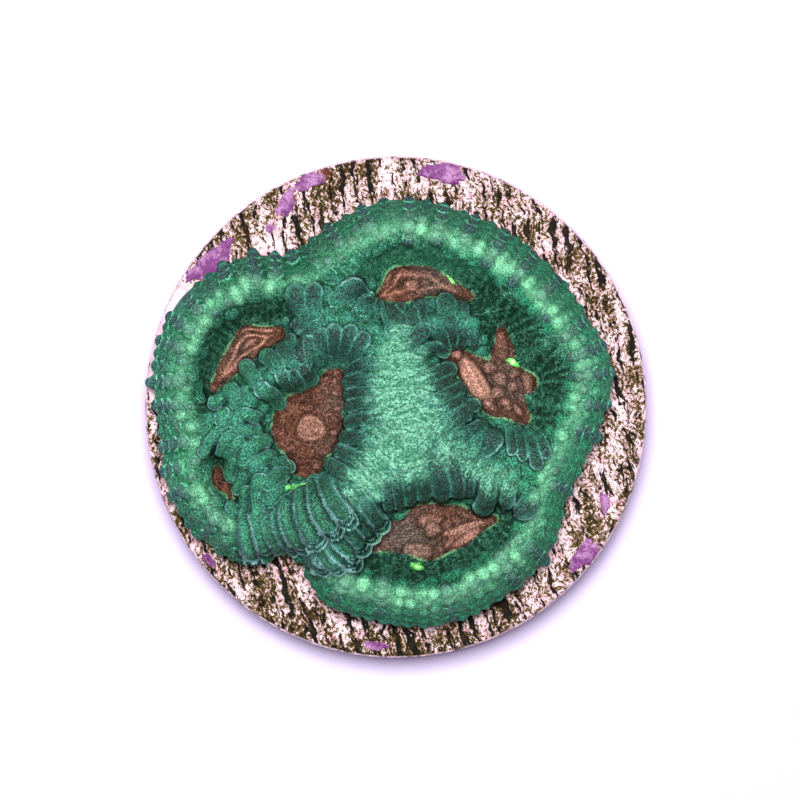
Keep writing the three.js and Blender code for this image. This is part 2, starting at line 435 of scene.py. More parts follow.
# Beads: lobes round the mouths, rows of swellings over the outer slope and folds on the inner wall
beadKinds = {"fold": 0.2, "slope": 0.45, "lobe": 0.7, "lead": 0.95}
beadRows = {
    "slope": {"gap": 1.4, "clear": 1.0, "radius": 0.7, "pitch": 0.95, "rise": 0.52, "long": 1.2,
              "swell": (0.9, 0.2, 0.12), "past": 1.2, "step": 0.1, "leastGain": 0.03, "leastSteps": 12},
    "lead": {"start": 0.4, "radius": 0.78, "pitch": 1.0, "rise": 0.78, "swell": (0.85, 0.25, 0.07)},
    "dot": {"count": 80, "clear": 1.15, "radius": 0.6, "rise": 0.48, "inside": (2.2, 4.3)},
    "lobe": {"wide": 1.24, "thick": 0.8, "pitch": 0.25, "rise": 1.25, "lean": 5.0, "trim": 0.3,
             "mostTrim": 0.4, "setBack": 0.2, "scallop": 0.66, "scallopDepth": 0.07, "stubRoot": 0.3,
             "tipSwell": 1.04, "swellFall": 0.1, "tipRise": 1.1, "riseFall": 0.4, "lowest": 0.05,
             "paleSink": 0.25, "paleBand": (-1.2, 0.8), "shadow": 0.5, "shadowFade": 0.8,
             "shadowSlack": 0.05, "seam": 0.3, "seamReach": 1.05},
    "fan": {"rooted": (0.3, 1.0)},
    "plate": {"layers": 3, "step": 0.36, "drop": 0.4, "lean": -18.0, "widen": 0.3, "rooted": (0.05, 0.6),
              "petalStack": 10.0, "layerStack": 3.0},
    "lump": {"tries": 12000, "clear": 0.8, "radius": 0.72, "rise": 0.5, "crowd": 0.6, "low": (-24, -22),
             "high": (22, 21), "fromEdge": 2.5, "fromFloor": 0.5, "mostOuter": 0.6, "fromPale": 0.2},
    "fold": {"gap": 0.7, "split": 1.2, "radius": 0.34, "pitch": 0.26, "rise": 0.2, "longest": 6.5,
             "fade": (3.0, 6.0), "faded": 0.8, "step": 0.15, "shortest": 0.6, "spacing": 0.92,
             "overlap": 0.08, "crest": 0.98, "fromFloor": 0.8, "leastClimb": 0.25, "leastOuter": 0.5},
    "calm": 0.72, "calmNorth": 0.4, "calmBand": (-8, 8),
    "climb": 0.45,  # share of a slope's rise that counts in the spacing along it
    "seed": 7,
}
lobes = [  # half-width, then the lobe's run outward from its mouth
    (0.73, (-9.5, 7.8), (-9.2, 8.6), (-8.8, 9.2)), (0.73, (-3.8, 11.9), (-4.8, 11.3), (-5.9, 10.4)),
    (0.46, (-3.5, 11.7), (-3.4, 10.9)), (0.81, (-2.6, 10.7), (-3.1, 9.8), (-3.4, 9.2)),
    (0.51, (-1.8, 10.3), (-1.8, 9.2)), (0.73, (-0.7, 9.5), (-0.3, 8.6), (-0.2, 7.4)),
    (0.53, (-9.4, 4.6), (-9.1, 6.0), (-8.5, 7.3), (-7.4, 8.1)),
    (0.56, (-4.7, 3.5), (-3.3, 4.2), (-1.6, 4.3)),
    (0.49, (-4.9, 2.4), (-3.5, 2.8), (-2.1, 2.7)), (0.43, (-4.8, 1.2), (-3.5, 1.5), (-2.0, 1.5)),
    (0.46, (-4.7, 0.0), (-3.5, 0.4), (-2.2, 0.4)), (0.56, (-4.7, -1.6), (-3.1, -1.1), (-1.2, -1.1)),
    (0.63, (-14.9, 4.2), (-14.4, 3.4), (-13.8, 2.6)), (0.63, (-12.9, 5.2), (-12.1, 4.5), (-11.4, 3.7)),
    (0.63, (-11.3, 6.0), (-10.6, 5.3), (-10.0, 4.5)), (0.45, (-10.5, 6.9), (-10.1, 6.1)),
    (0.59, (-11.1, 3.0), (-10.5, 1.9)), (0.56, (-10.1, 3.0), (-9.4, 1.8)),
    (0.59, (-9.0, 3.9), (-8.2, 2.5)), (0.69, (-16.5, 1.8), (-15.7, 1.0)),
    (0.63, (-13.2, 1.7), (-12.2, 1.2), (-11.5, 0.4)), (0.56, (-18.0, 0.4), (-17.3, 1.0)),
    (0.61, (-17.0, -0.5), (-17.0, -1.6)), (0.51, (-13.5, -1.1), (-14.8, -0.7), (-16.2, -1.4)),
    (0.51, (-13.5, -2.3), (-14.8, -2.3), (-15.7, -1.8)),
    (0.47, (-18.9, -4.6), (-18.3, -3.5), (-17.5, -2.6)),
    (0.47, (-17.3, -4.6), (-16.7, -3.4), (-15.8, -2.4)),
    (0.43, (-16.6, -5.0), (-16.0, -4.0), (-15.2, -3.3)),
    (0.59, (-12.6, -3.3), (-13.5, -3.5), (-14.6, -4.4)),
    (0.59, (-16.3, -7.0), (-16.3, -6.0), (-15.9, -5.3)),
    (0.53, (-12.1, -4.7), (-13.1, -5.1), (-14.2, -5.9)), (0.47, (-15.2, -5.7), (-14.9, -5.0)),
    (0.47, (-15.7, -8.3), (-15.3, -7.0), (-15.1, -6.4)),
    (0.56, (-14.7, -8.3), (-15.0, -9.5), (-15.3, -10.4)), (0.45, (-16.3, -9.6), (-16.0, -10.4)),
    (0.61, (-10.9, -6.6), (-11.7, -6.7), (-12.5, -7.6)),
    (0.53, (-13.4, -7.0), (-13.9, -8.4), (-13.7, -9.9)),
    (0.59, (-10.8, -8.0), (-11.7, -8.4), (-12.6, -9.3)),
    (0.51, (-10.4, -6.0), (-11.1, -5.5), (-12.1, -5.5)),
    (0.56, (-5.2, -3.1), (-3.8, -2.9), (-2.3, -3.6)),
    (0.61, (-5.6, -4.2), (-4.5, -4.7), (-3.0, -5.2)), (0.56, (-6.6, -5.6), (-5.6, -6.1), (-4.2, -6.9)),
    (0.59, (-6.8, -7.4), (-5.7, -7.9), (-4.3, -8.3)),
    (0.49, (-0.6, -10.0), (-0.8, -8.4), (-0.8, -6.8)), (0.49, (0.3, -9.8), (0.1, -8.2), (0.0, -6.4)),
    (0.65, (5.4, 6.2), (5.4, 7.6), (4.7, 8.4), (3.7, 8.3)), (0.49, (6.3, 6.1), (6.6, 7.3), (6.1, 8.3)),
    (0.38, (7.6, 6.0), (7.8, 6.8), (7.5, 7.5)), (0.57, (4.8, 6.1), (4.5, 7.1), (3.7, 7.5)),
    (0.55, (2.9, 7.2), (1.9, 6.8), (1.0, 5.6)), (0.55, (4.9, 5.3), (4.0, 5.8), (2.9, 5.5), (2.1, 4.8)),
    (0.65, (5.5, 3.8), (4.3, 3.4), (2.7, 2.6)), (0.55, (5.4, 2.6), (4.2, 2.1), (2.8, 1.5)),
    (0.61, (6.4, 1.9), (5.3, 1.4), (3.7, 0.6)), (0.51, (6.6, 0.7), (5.5, 0.2), (4.2, -0.3)),
    (0.56, (7.9, 0.2), (7.3, 0.2)), (0.69, (7.0, -0.4), (6.0, -1.0), (4.5, -2.0)),
    (0.55, (8.6, -1.7), (7.1, -2.4), (5.5, -2.8)),
    (0.4, (0.4, 10.0), (0.6, 9.2)), (0.61, (1.8, 9.3), (1.6, 8.4), (1.0, 7.7)),
    (0.4, (2.5, 9.2), (2.8, 8.3)), (0.57, (2.2, 9.9), (3.7, 10.4)), (0.79, (4.9, 10.6), (5.1, 9.2)),
    (0.61, (6.4, 10.1), (6.5, 8.9)), (0.93, (9.7, -2.9), (8.5, -3.7), (7.4, -4.3)),
    (0.72, (4.5, -8.9), (4.4, -7.3), (3.8, -5.6), (3.2, -4.0)),
    (0.62, (6.1, -8.6), (6.1, -7.2), (5.4, -5.4), (4.5, -4.0)),
    (0.47, (7.1, -8.6), (7.2, -7.3), (6.7, -6.3)), (0.32, (8.0, -8.0), (8.0, -6.6)),
    (0.77, (8.5, -10.1), (9.0, -8.8), (9.0, -7.4)), (0.63, (10.8, -9.6), (11.0, -8.6), (10.9, -8.0)),
    (0.77, (12.3, -10.3), (13.0, -9.5), (13.3, -8.6)),
    (0.42, (11.4, -4.3), (11.3, -3.0), (11.2, -1.9)), (0.45, (12.4, -4.9), (12.2, -3.4), (12.0, -2.1)),
    (0.5, (13.8, -5.6), (13.4, -4.0), (13.0, -2.5)), (0.45, (14.7, -4.6), (14.4, -3.5), (13.9, -2.7)),
    (0.59, (1.3, -9.4), (1.4, -8.2), (1.1, -6.7)),
    (0.59, (2.7, -8.9), (2.8, -7.8), (2.4, -6.5)),
]
fanLobes = [  # north of the middle mouth, with their free ends turned up and away from it
    (0.55, (-8.4, 4.2), (-8.6, 5.6), (-8.6, 6.9)), (0.62, (-7.1, 4.3), (-7.3, 5.8), (-7.4, 7.2)),
    (0.66, (-6.2, 4.4), (-6.1, 5.9), (-6.0, 7.4)), (0.66, (-5.5, 4.3), (-4.9, 5.9), (-4.5, 7.3)),
    (0.62, (-4.9, 4.1), (-3.8, 5.5), (-3.1, 6.8)), (0.8, (-9.3, 8.9), (-9.7, 10.2), (-9.9, 11.3)),
    (0.7, (-8.0, 9.2), (-8.1, 10.4), (-8.0, 11.5)),
]
petals = [  # the south fan: every petal lies over the ones named before it
    (0.6, (-8.5, -13.9), (-8.1, -14.8), (-7.5, -15.4)), (0.6, (-7.3, -13.7), (-6.8, -14.6), (-6.1, -15.3)),
    (0.65, (-6.0, -13.4), (-5.4, -14.3), (-4.6, -15.0)),
    (0.55, (-6.0, -12.2), (-5.5, -13.2), (-4.7, -14.2)),
    (0.6, (-4.8, -11.4), (-4.3, -12.4), (-3.6, -13.4)), (0.6, (-4.0, -10.2), (-3.4, -11.3), (-2.7, -12.2)),
    (0.6, (-3.0, -9.4), (-2.4, -10.4), (-1.8, -11.2)),
    (0.66, (-14.6, -11.0), (-14.6, -12.6), (-14.2, -14.2)),
    (0.55, (-13.7, -8.8), (-13.5, -11.2), (-12.9, -13.8)),
    (0.5, (-12.4, -11.0), (-12.3, -12.2), (-11.5, -13.8)),
    (0.45, (-11.6, -10.4), (-11.4, -12.0), (-10.4, -13.5)),
    (0.6, (-10.7, -9.6), (-10.5, -11.6), (-9.4, -13.2)), (0.7, (-9.2, -8.2), (-9.0, -10.6), (-8.0, -12.5)),
    (0.75, (-7.9, -7.6), (-7.5, -10.0), (-6.5, -11.5)), (0.65, (-6.8, -7.2), (-6.2, -9.0), (-5.2, -10.4)),
]
leadRows = [  # rows of larger beads, from the margin up to the crest
    ((-24.6, 2.4), (-20.8, 2.6)), ((-20.6, 10.7), (-18.8, 8.8)), ((-14.2, 15.6), (-13.6, 11.6)),
    ((-10.3, 15.2), (-9.9, 13.8)), ((-3.5, 19.7), (-2.4, 17.3)), ((1.3, 20.5), (1.3, 16.3)),
    ((8.0, 18.8), (6.3, 15.7)), ((13.7, 15.2), (11.3, 12.0)), ((16.1, 12.7), (14.2, 10.8)),
    ((18.8, 8.7), (15.8, 6.2)), ((21.6, 3.4), (17.5, 3.0)), ((21.3, 0.2), (18.0, 0.3)),
    ((20.3, -3.2), (17.3, -1.7)), ((17.5, -8.5), (14.8, -7.4)), ((15.1, -15.5), (12.9, -13.5)),
    ((12.3, -18.0), (10.3, -14.8)), ((5.6, -20.9), (4.9, -17.8)), ((-1.6, -20.3), (-1.2, -17.0)),
    ((-6.0, -18.8), (-4.4, -16.2)), ((-18.8, -12.6), (-17.6, -10.7)), ((-22.3, -8.9), (-20.4, -8.0)),
    ((-23.2, -4.0), (-20.4, -3.3)), ((-23.4, 6.6), (-21.0, 5.7)), ((-17.3, 14.3), (-16.4, 11.9)),
    ((-22.4, 9.0), (-20.0, 7.4)), ((-23.9, 0.2), (-20.6, 0.3)), ((-23.0, -6.4), (-20.6, -5.8)),
    ((-12.0, 15.4), (-11.8, 12.8)), ((-6.8, 17.9), (-5.2, 15.5)), ((4.8, 20.2), (4.0, 16.6)),
    ((10.9, 17.4), (9.0, 14.2)), ((20.6, 6.2), (17.3, 4.9)),
]
rng = np.random.default_rng(beadRows["seed"])
lobeShapes = []  # points, half-widths, heights, lean, share of the way to the root and place in the stack
beads = []  # middle, three half-sizes, kind, the way the row runs and the way up


def surfaceNormal(points):
    return unit(np.stack([-readMap("slopeX", points), -readMap("slopeY", points), np.ones(len(points))], 1))


def placeBeads(path, kind, radii, rises, along=1.0, thick=1.0, lean=0.0):
    # path: points on the map; each bead's top stands its rise above the bare skin
    normal = surfaceNormal(path)
    surface = np.column_stack([path, topFace + readMap("height", path) - colony["skinDrop"]])
    runs = np.gradient(surface, axis=0) if len(path) > 1 else np.tile([1.0, 0, 0], (len(path), 1))
    side = unit(np.cross(normal, runs))
    up = normal * math.cos(math.radians(lean)) + side * math.sin(math.radians(lean))
    sizes = np.column_stack([radii * along, radii, radii * thick])
    centre = surface + normal * (rises - sizes[:, 2])[:, None]
    for c, s, r, u in zip(centre, sizes, runs, up):
        beads.append((*c, *s, beadKinds[kind], *r, *u))


def evenSteps(path, pitch, start=0.0, climb=0.0):
    # stops a pitch apart along a path, with the share of the way
    surface = np.column_stack([path, climb * readMap("height", path)])
    run = runAlong(surface)
    stops = np.arange(start, run[-1] + 0.01, pitch)
    return pointsAt(stops, run, path), stops / max(run[-1], 1e-6)


def openCurve(knots, step=0.1, fineness=20):
    knots = np.array(knots, float)
    if len(knots) > 2:
        padded = np.vstack([2 * knots[0] - knots[1], knots, 2 * knots[-1] - knots[-2]])
        t = np.linspace(0, 1, fineness, endpoint=False)[:, None]
        parts = []
        for a, b, c, d in zip(padded, padded[1:], padded[2:], padded[3:]):
            bend = (2 * a - 5 * b + 4 * c - d) * t ** 2 + (3 * b - a - 3 * c + d) * t ** 3
            parts.append(b + 0.5 * ((c - a) * t + bend))
        knots = np.vstack(parts + [knots[-1:]])
    run = runAlong(knots)
    return pointsAt(np.linspace(0, run[-1], max(int(run[-1] / step), 1) + 1), run, knots)


def pathLength(path):
    return np.linalg.norm(np.diff(path, axis=0), axis=1).sum()


def growLobe(half, axis, lean, freeEnd="mouth", rooted=(0.0, 1.0), stack=0.0, outward=0.0, drop=0.0):
    # stands tall at its free end and sinks into the wall at its root
    style = beadRows["lobe"]
    path = openCurve(axis)
    if outward:
        last = path[-1] - path[-2]
        path = np.vstack([path, path[-1] + last / np.linalg.norm(last) * outward])
    path = path if freeEnd == "mouth" else path[::-1]
    trim = min(style["trim"] * half, style["mostTrim"] * pathLength(path))
    spots, share = evenSteps(path, style["pitch"], trim)
    toRoot = share if len(spots) > 2 else share * 0 + style["stubRoot"]
    toRoot = rooted[0] + (rooted[1] - rooted[0]) * toRoot
    wave = np.cos((np.arange(len(spots)) * style["pitch"] / style["scallop"] + rng.uniform()) * 2 * math.pi)
    swell = style["tipSwell"] - style["swellFall"] * toRoot + style["scallopDepth"] * wave
    onPale = smoothstep(-paleGap(spots), *style["paleBand"])
    rises = half * style["rise"] * swell * (1 - style["paleSink"] * onPale)
    rises = rises * (style["tipRise"] - style["riseFall"] * toRoot)
    rises = np.maximum(rises - drop, style["lowest"])
    spots = spots - surfaceNormal(spots)[:, :2] * (style["setBack"] * rises)[:, None]
    widths = style["wide"] * half * swell + beadRows["plate"]["widen"] * outward
    placeBeads(spots, "lobe", widths, rises, 1.0, style["thick"], lean)
    lobeShapes.append((spots, widths, rises, lean, toRoot, stack))


def lobeAcross(flat):
    # place on the highest lobe, 0 on its axis to 1 at its edge and 0 at its free end to 1 at its root,
    # then a painted shadow on the skin just beside the edge of a higher lobe, and how close the seam to a
    # neighbour is, each 0 to 1
    highest = np.full(len(flat), -np.inf)
    closest, second, across = (np.full(len(flat), 2.0) for _ in range(3))
    rootward, order, contact = (np.zeros(len(flat)) for _ in range(3))
    style = beadRows["lobe"]
    reachOut = style["shadow"]
    edges = []
    for spots, widths, rises, lean, toRoot, stack in lobeShapes:
        reach = 2 * widths.max()
        near = np.nonzero(((flat > spots.min(0) - reach) & (flat < spots.max(0) + reach)).all(1))[0]
        away = flat[near][:, None, :] - spots[None, :, :]
        shares = np.linalg.norm(away, axis=2) / widths
        at = shares.argmin(1)
        share = shares[np.arange(len(near)), at]
        run = unit(np.gradient(spots, axis=0)[at]) if len(spots) > 1 else np.zeros((len(near), 2))
        offset = away[np.arange(len(near)), at]
        left = run[:, 0] * offset[:, 1] - run[:, 1] * offset[:, 0]
        tilt = math.tan(math.radians(lean)) * left
        level = rises[at] * np.sqrt(np.clip(1 - share ** 2, 0, 1)) - np.maximum(share - 1, 0) - tilt
        level = level + np.where(share < 1, stack, 0)
        wins = level > highest[near]
        if not stack:
            second[near] = np.minimum(second[near], np.maximum(share, closest[near]))
            closest[near] = np.minimum(closest[near], share)
        order[near[wins]] = np.where(share[wins] < 1, stack, 0)
        highest[near[wins]] = level[wins]
        across[near[wins]] = share[wins]
        rootward[near[wins]] = toRoot[at[wins]]
        # painted shadow just outside each lobe's edge, fainter toward its root, kept where that lobe stands
        # higher
        beside = (share > 1) & (share < 1 + reachOut)
        close = (1 + reachOut - share[beside]) / reachOut * (1 - style["shadowFade"] * toRoot[at[beside]])
        edges.append((near[beside], stack, -tilt[beside], close))
    for near, stack, level, close in edges:
        above = (stack > order[near]) | (level > highest[near] - style["shadowSlack"])
        contact[near[above]] = np.maximum(contact[near[above]], close[above])
    seam = np.clip(1 - (second - closest) / style["seam"], 0, 1)
    seam = seam * (second < style["seamReach"]) * (order == 0)
    return across, rootward, contact, seam


def growLobes():
    lean = beadRows["lobe"]["lean"]
    for half, *axis in lobes:
        growLobe(half, axis, rng.uniform(-1, 1) * lean)
    for half, *axis in fanLobes:
        growLobe(half, axis, rng.uniform(-1, 1) * lean, "outside", beadRows["fan"]["rooted"])
    plate = beadRows["plate"]
    for place, (half, *axis) in enumerate(petals):
        for layer in range(plate["layers"]):
            stack = plate["petalStack"] * (place + 1) - plate["layerStack"] * layer
            growLobe(half, axis, plate["lean"], "outside", plate["rooted"], stack,
                     layer * plate["step"], layer * plate["drop"])


def slopeLife(spots):
    # 0 on the east and south of the slope to 1 on its north and west
    return smoothstep(spots[:, 1] * beadRows["calmNorth"] - spots[:, 0], *beadRows["calmBand"])


def calmer(spots):
    # beads stand lower where the slope is less lively
    return beadRows["calm"] + (1 - beadRows["calm"]) * slopeLife(spots)


def swellAlong(style, share):
    low, gain, vary = style["swell"]
    return low + gain * share + rng.uniform(-vary, vary, len(share))


def growLeadRows():
    style = beadRows["lead"]
    for axis in leadRows:
        pitch = style["pitch"] * rng.uniform(0.92, 1.08)
        spots, share = evenSteps(openCurve(axis), pitch, style["start"], beadRows["climb"])
        swell = swellAlong(style, share)
        placeBeads(spots, "lead", style["radius"] * swell, style["rise"] * swell * calmer(spots))


def nearestSquare(taken, spot):
    return ((taken - spot) ** 2).sum(1).min()


def growDots():
    # single beads scattered over the crest
    style = beadRows["dot"]
    for number in range(style["count"]):
        turn = (number + rng.uniform(-0.4, 0.4)) / style["count"]
        spot = outlineAt(turn, outlinePoints) - outlineAt(turn, outlineOut) * rng.uniform(*style["inside"])
        taken = np.array([bead[:2] for bead in beads])
        if nearestSquare(taken, spot) > style["clear"] ** 2:
            grow = rng.uniform(0.8, 1.2)
            spots = spot[None, :]
            rises = style["rise"] * grow * calmer(spots)
            placeBeads(spots, "lead", np.array([style["radius"] * grow]), rises)


def growSlopeRows():
    style = beadRows["slope"]
    taken = np.array([bead[:2] for bead in beads])
    rows = int(round(outlineLength / style["gap"]))
    steps = np.arange(colony["skinInset"], colony["rimWidth"] + style["past"], style["step"])[:, None]
    for row in range(rows):
        turn = (row + rng.uniform(-0.15, 0.15)) / rows
        path = outlineAt(turn, outlinePoints) - steps * outlineAt(turn, outlineOut)
        turnsBack = np.nonzero(np.diff(readMap("fromEdge", path)) < style["leastGain"])[0]
        if len(turnsBack):
            path = path[:max(turnsBack[0], style["leastSteps"])]
        pitch = style["pitch"] * rng.uniform(0.9, 1.1)
        spots, share = evenSteps(path, pitch, rng.uniform(0.0, 0.4), beadRows["climb"])
        free = np.array([nearestSquare(taken, spot) > style["clear"] ** 2 for spot in spots])
        swell = swellAlong(style, share)
        if free.any():
            rises = style["rise"] * swell * calmer(spots)
            placeBeads(spots[free], "slope", style["radius"] * swell[free], rises[free], style["long"])


def floorContour(name, spineSteps=30, endSteps=16):
    # starts of rows in order round one floor, spaced along its edge
    shape, chain = beadRows["fold"], colony["mouths"][name]
    left, right = [], []
    for (ax, ay, aw), (bx, by, bw) in zip(chain, chain[1:]):
        along = np.array([bx - ax, by - ay])
        side = np.array([-along[1], along[0]]) / np.linalg.norm(along)
        for t in np.linspace(0, 1, spineSteps):
            spine = np.array([ax, ay]) + t * along
            wide = aw + (bw - aw) * t
            left.append(spine + side * wide)
            right.append(spine - side * wide)
    ends = []
    for (px, py, pw), first in ((chain[-1], left[-1]), (chain[0], right[0])):
        start = math.atan2(first[1] - py, first[0] - px)
        fan = start - math.pi * np.linspace(0, 1, endSteps)
        ends.append([np.array([px + pw * math.cos(a), py + pw * math.sin(a)]) for a in fan])
    apart = shape["gap"] * shape["spacing"]
    kept = []
    for spot in left + ends[0] + right[::-1] + ends[1]:
        outside = floorGap(spot[None, :])[0] > -shape["overlap"]
        if outside and all(np.linalg.norm(spot - other) > apart for other in kept):
            kept.append(spot)
    return kept


def growFan(name):
    # rows walk away from the floor side by side, and a new row starts where two have spread apart
    shape = beadRows["fold"]
    step = shape["step"]
    rows = [{"path": [spot], "alive": True} for spot in floorContour(name)]
    for _ in range(int(shape["longest"] / step)):
        tips = np.array([row["path"][-1] for row in rows])
        uphill = unit(np.stack([readMap("awayX", tips), readMap("awayY", tips)], 1), 1e-6)
        ahead = tips + uphill * step
        here, there = readMap("first", tips), readMap("first", ahead)
        atCrest = (there > readMap("halfWall", ahead) * shape["crest"]) & (there > shape["fromFloor"])
        stuck = there < here + shape["leastClimb"] * step
        spread = np.linalg.norm(tips - np.roll(tips, -1, 0), axis=1)
        for i, row in enumerate(rows):
            row["alive"] = bool(row["alive"] and not (atCrest[i] or stuck[i]))
            if row["alive"]:
                row["path"].append(ahead[i])
        grown = []
        for i, row in enumerate(rows):
            grown.append(row)
            other = rows[(i + 1) % len(rows)]
            if row["alive"] and other["alive"] and shape["split"] < spread[i] < 2 * shape["split"]:
                middle = (row["path"][-1] + other["path"][-1]) / 2
                grown.append({"path": [middle], "alive": True})
        rows = grown
    return [row["path"] for row in rows if len(row["path"]) * step > shape["shortest"]]


def growFolds():
    # low folds that run up the inner side of the outer wall
    shape = beadRows["fold"]
    for name in colony["mouths"]:
        for row in growFan(name):
            path = np.array(row)
            if readMap("outer", path[len(path) // 2:]).mean() < shape["leastOuter"]:
                continue
            pitch = shape["pitch"] * rng.uniform(0.88, 1.12)
            spots, _ = evenSteps(path, pitch, rng.uniform(0.1, 0.4), 1.0)
            fade = 1 - shape["faded"] * smoothstep(readMap("first", spots), *shape["fade"])
            radii = shape["radius"] * rng.uniform(0.86, 1.14, len(spots))
            placeBeads(spots, "fold", radii, shape["rise"] * fade * rng.uniform(0.85, 1.15, len(spots)))


def growLumps():
    # small lumps that fill what the lobes leave bare on the walls between mouths
    style = beadRows["lump"]
    taken = np.array([(*bead[:2], bead[4]) for bead in beads if bead[6] != beadKinds["fold"]])
    tries = rng.uniform(style["low"], style["high"], (style["tries"], 2))
    wanted = (readMap("fromEdge", tries) > style["fromEdge"]) & (paleGap(tries) > style["fromPale"])
    wanted &= (readMap("first", tries) > style["fromFloor"]) & (readMap("outer", tries) < style["mostOuter"])
    for spot in tries[wanted]:
        room = np.sqrt(((taken[:, :2] - spot) ** 2).sum(1)) - style["crowd"] * taken[:, 2]
        if room.min() < style["clear"] * style["crowd"]:
            continue
        grow = rng.uniform(0.75, 1.2)
        size = style["radius"] * grow
        taken = np.vstack([taken, [*spot, size]])
        placeBeads(spot[None, :], "slope", np.array([size]), np.array([style["rise"] * grow]))


for grow in (growLobes, growLeadRows, growDots, growSlopeRows, growFolds, growLumps):
    grow()
beadTable = np.array(beads)
print("beads placed,", len(beads))

# Mouths: what stands on the floors, and the bright spots
mouthParts = {
    "folds": {"height": 0.35, "pitch": 0.75, "wander": 0.6, "wanderScale": 0.45, "edge": 0.35},
    "folded": {
        "northwest": 1.0, "middle": 0.3, "southwest": 0.8, "north": 0.8,
        "east": 0.35, "eastArm": 0.5, "south": 0.4,
    },
    "mounds": [  # x, y, half-length, half-width, turn in degrees, height and flush
        (7.85, 2.5, 2.9, 1.1, -58, 0.9, 1.0), (9.2, 3.9, 0.7, 0.6, 0, 0.4, 0.3),
        (10.3, 2.8, 0.9, 0.6, -40, 0.4, 0.3), (11.6, 3.3, 0.6, 0.5, 30, 0.35, 0.2),
        (11.5, 2.0, 0.6, 0.55, 0, 0.35, 0.25), (10.9, 0.3, 0.8, 0.5, -50, 0.35, 0.35),
        (10.0, 1.4, 0.7, 0.6, 0, 0.4, 0.4), (9.2, 0.1, 1.0, 0.45, -30, 0.35, 0.3),
        (12.0, -0.3, 0.8, 0.35, -50, 0.3, 0.4), (10.4, 6.0, 1.5, 0.65, 95, 0.35, 0.2),
        (13.0, 2.3, 1.5, 0.55, 95, 0.35, 0.2), (3.3, -11.2, 1.3, 0.7, 8, 0.4, 0.4),
        (3.6, -12.1, 0.8, 0.8, 0, 0.55, 0.4), (2.1, -14.4, 1.5, 1.1, 0, 0.55, 0.3),
        (5.9, -13.3, 1.3, 0.8, 30, 0.4, 0.4), (8.7, -11.4, 1.0, 0.35, 8, 0.25, 0.5),
        (1.5, 12.0, 0.8, 0.6, 0, 0.35, 0.4), (-8.4, -2.1, 1.5, 1.4, 0, 0.35, 0.55),
        (5.9, 5.2, 0.65, 0.5, -20, 0.4, 0.6), (6.8, -12.0, 2.4, 0.5, 16, 0.2, 0.85),
        (7.0, -12.9, 1.8, 0.45, 32, 0.2, 0.8), (-6.0, 1.4, 0.4, 0.36, 0, 0.2, 0.25),
        (-5.8, -0.2, 0.4, 0.36, 0, 0.2, 0.25), (-6.1, -2.5, 0.36, 0.4, 0, 0.2, 0.25),
        (-7.2, -4.4, 0.42, 0.36, 0, 0.2, 0.25), (-7.9, -5.8, 0.4, 0.4, 0, 0.2, 0.25),
    ],
    "grey": [  # x, y, reach and strength
        (10.5, 2.3, 2.6, 0.8), (9.0, 4.2, 1.2, 0.6), (6.6, -12.2, 2.4, 0.25), (1.2, -13.4, 3.2, 0.95),
        (4.0, 12.2, 2.4, 0.65), (-15.5, 5.2, 2.5, 0.35), (-6.0, 0.6, 1.4, 0.45), (-6.6, -3.6, 1.6, 0.4),
    ],
    # painted shadow: a dark ring just outside each mound's edge, where it sits, how wide and how lobed
    "outline": {"at": 1.03, "width": 0.13, "lobed": 0.12, "clear": 0.15},
    "mound": {"flatten": 0.8, "power": 0.6, "crinkle": 0.05, "flushEdge": 0.25},
    "mouthDisc": (-8.4, -2.1, 1.4), "discRings": 5, "ringHeight": 0.07, "ringFlush": 0.35,
    "pit": 0.25, "pitWidth": 0.12,
    "neon": [  # x, y, half-length, half-width, turn in degrees
        (-10.5, -8.2, 0.75, 0.34, 28), (-9.4, -7.8, 2.2, 0.16, 25), (2.0, -15.7, 0.8, 0.38, 0),
        (11.5, 4.4, 0.85, 0.36, -25), (5.5, 12.5, 0.7, 0.2, -45),
    ],
}
# Where the tints of the skin lie, in millimetres
skinTints = {
    "fromEdge": 3.4, "outerFade": 1.0, "innerFade": 0.55, "ragged": 0.5, "raggedScale": 0.55,
    "notches": [(-10.6, 15.3), (-10.4, -15.0)], "notchFade": 0.9, "notchReach": 4.2,
    # axis, side, limits along it and gain: duller in the west and east, brighter in the south
    "gains": [(0, -1, (14, 20), -0.3), (0, 1, (13, 17), -0.15), (1, -1, (12, 16), 0.9)],
    "wall": (3.8, 4.9), "wallNorth": (11.5, 14), "wallFade": 0.9, "plateau": (-1.6, 0.6),
    "greenLobes": (-9.5, -13.5), "greenReach": 6.0, "greenWest": (10, 14), "greenShare": 0.8,
}


def roundSpot(flat, middle, reach):
    return np.exp(-((flat - middle) ** 2).sum(1) / reach ** 2)


def localOval(flat, x, y, halfLength, halfWidth, turnDegrees):
    t = math.radians(turnDegrees)
    away = flat - (x, y)
    along = away[:, 0] * math.cos(t) + away[:, 1] * math.sin(t)
    across = away[:, 1] * math.cos(t) - away[:, 0] * math.sin(t)
    return along / halfLength, across / halfWidth


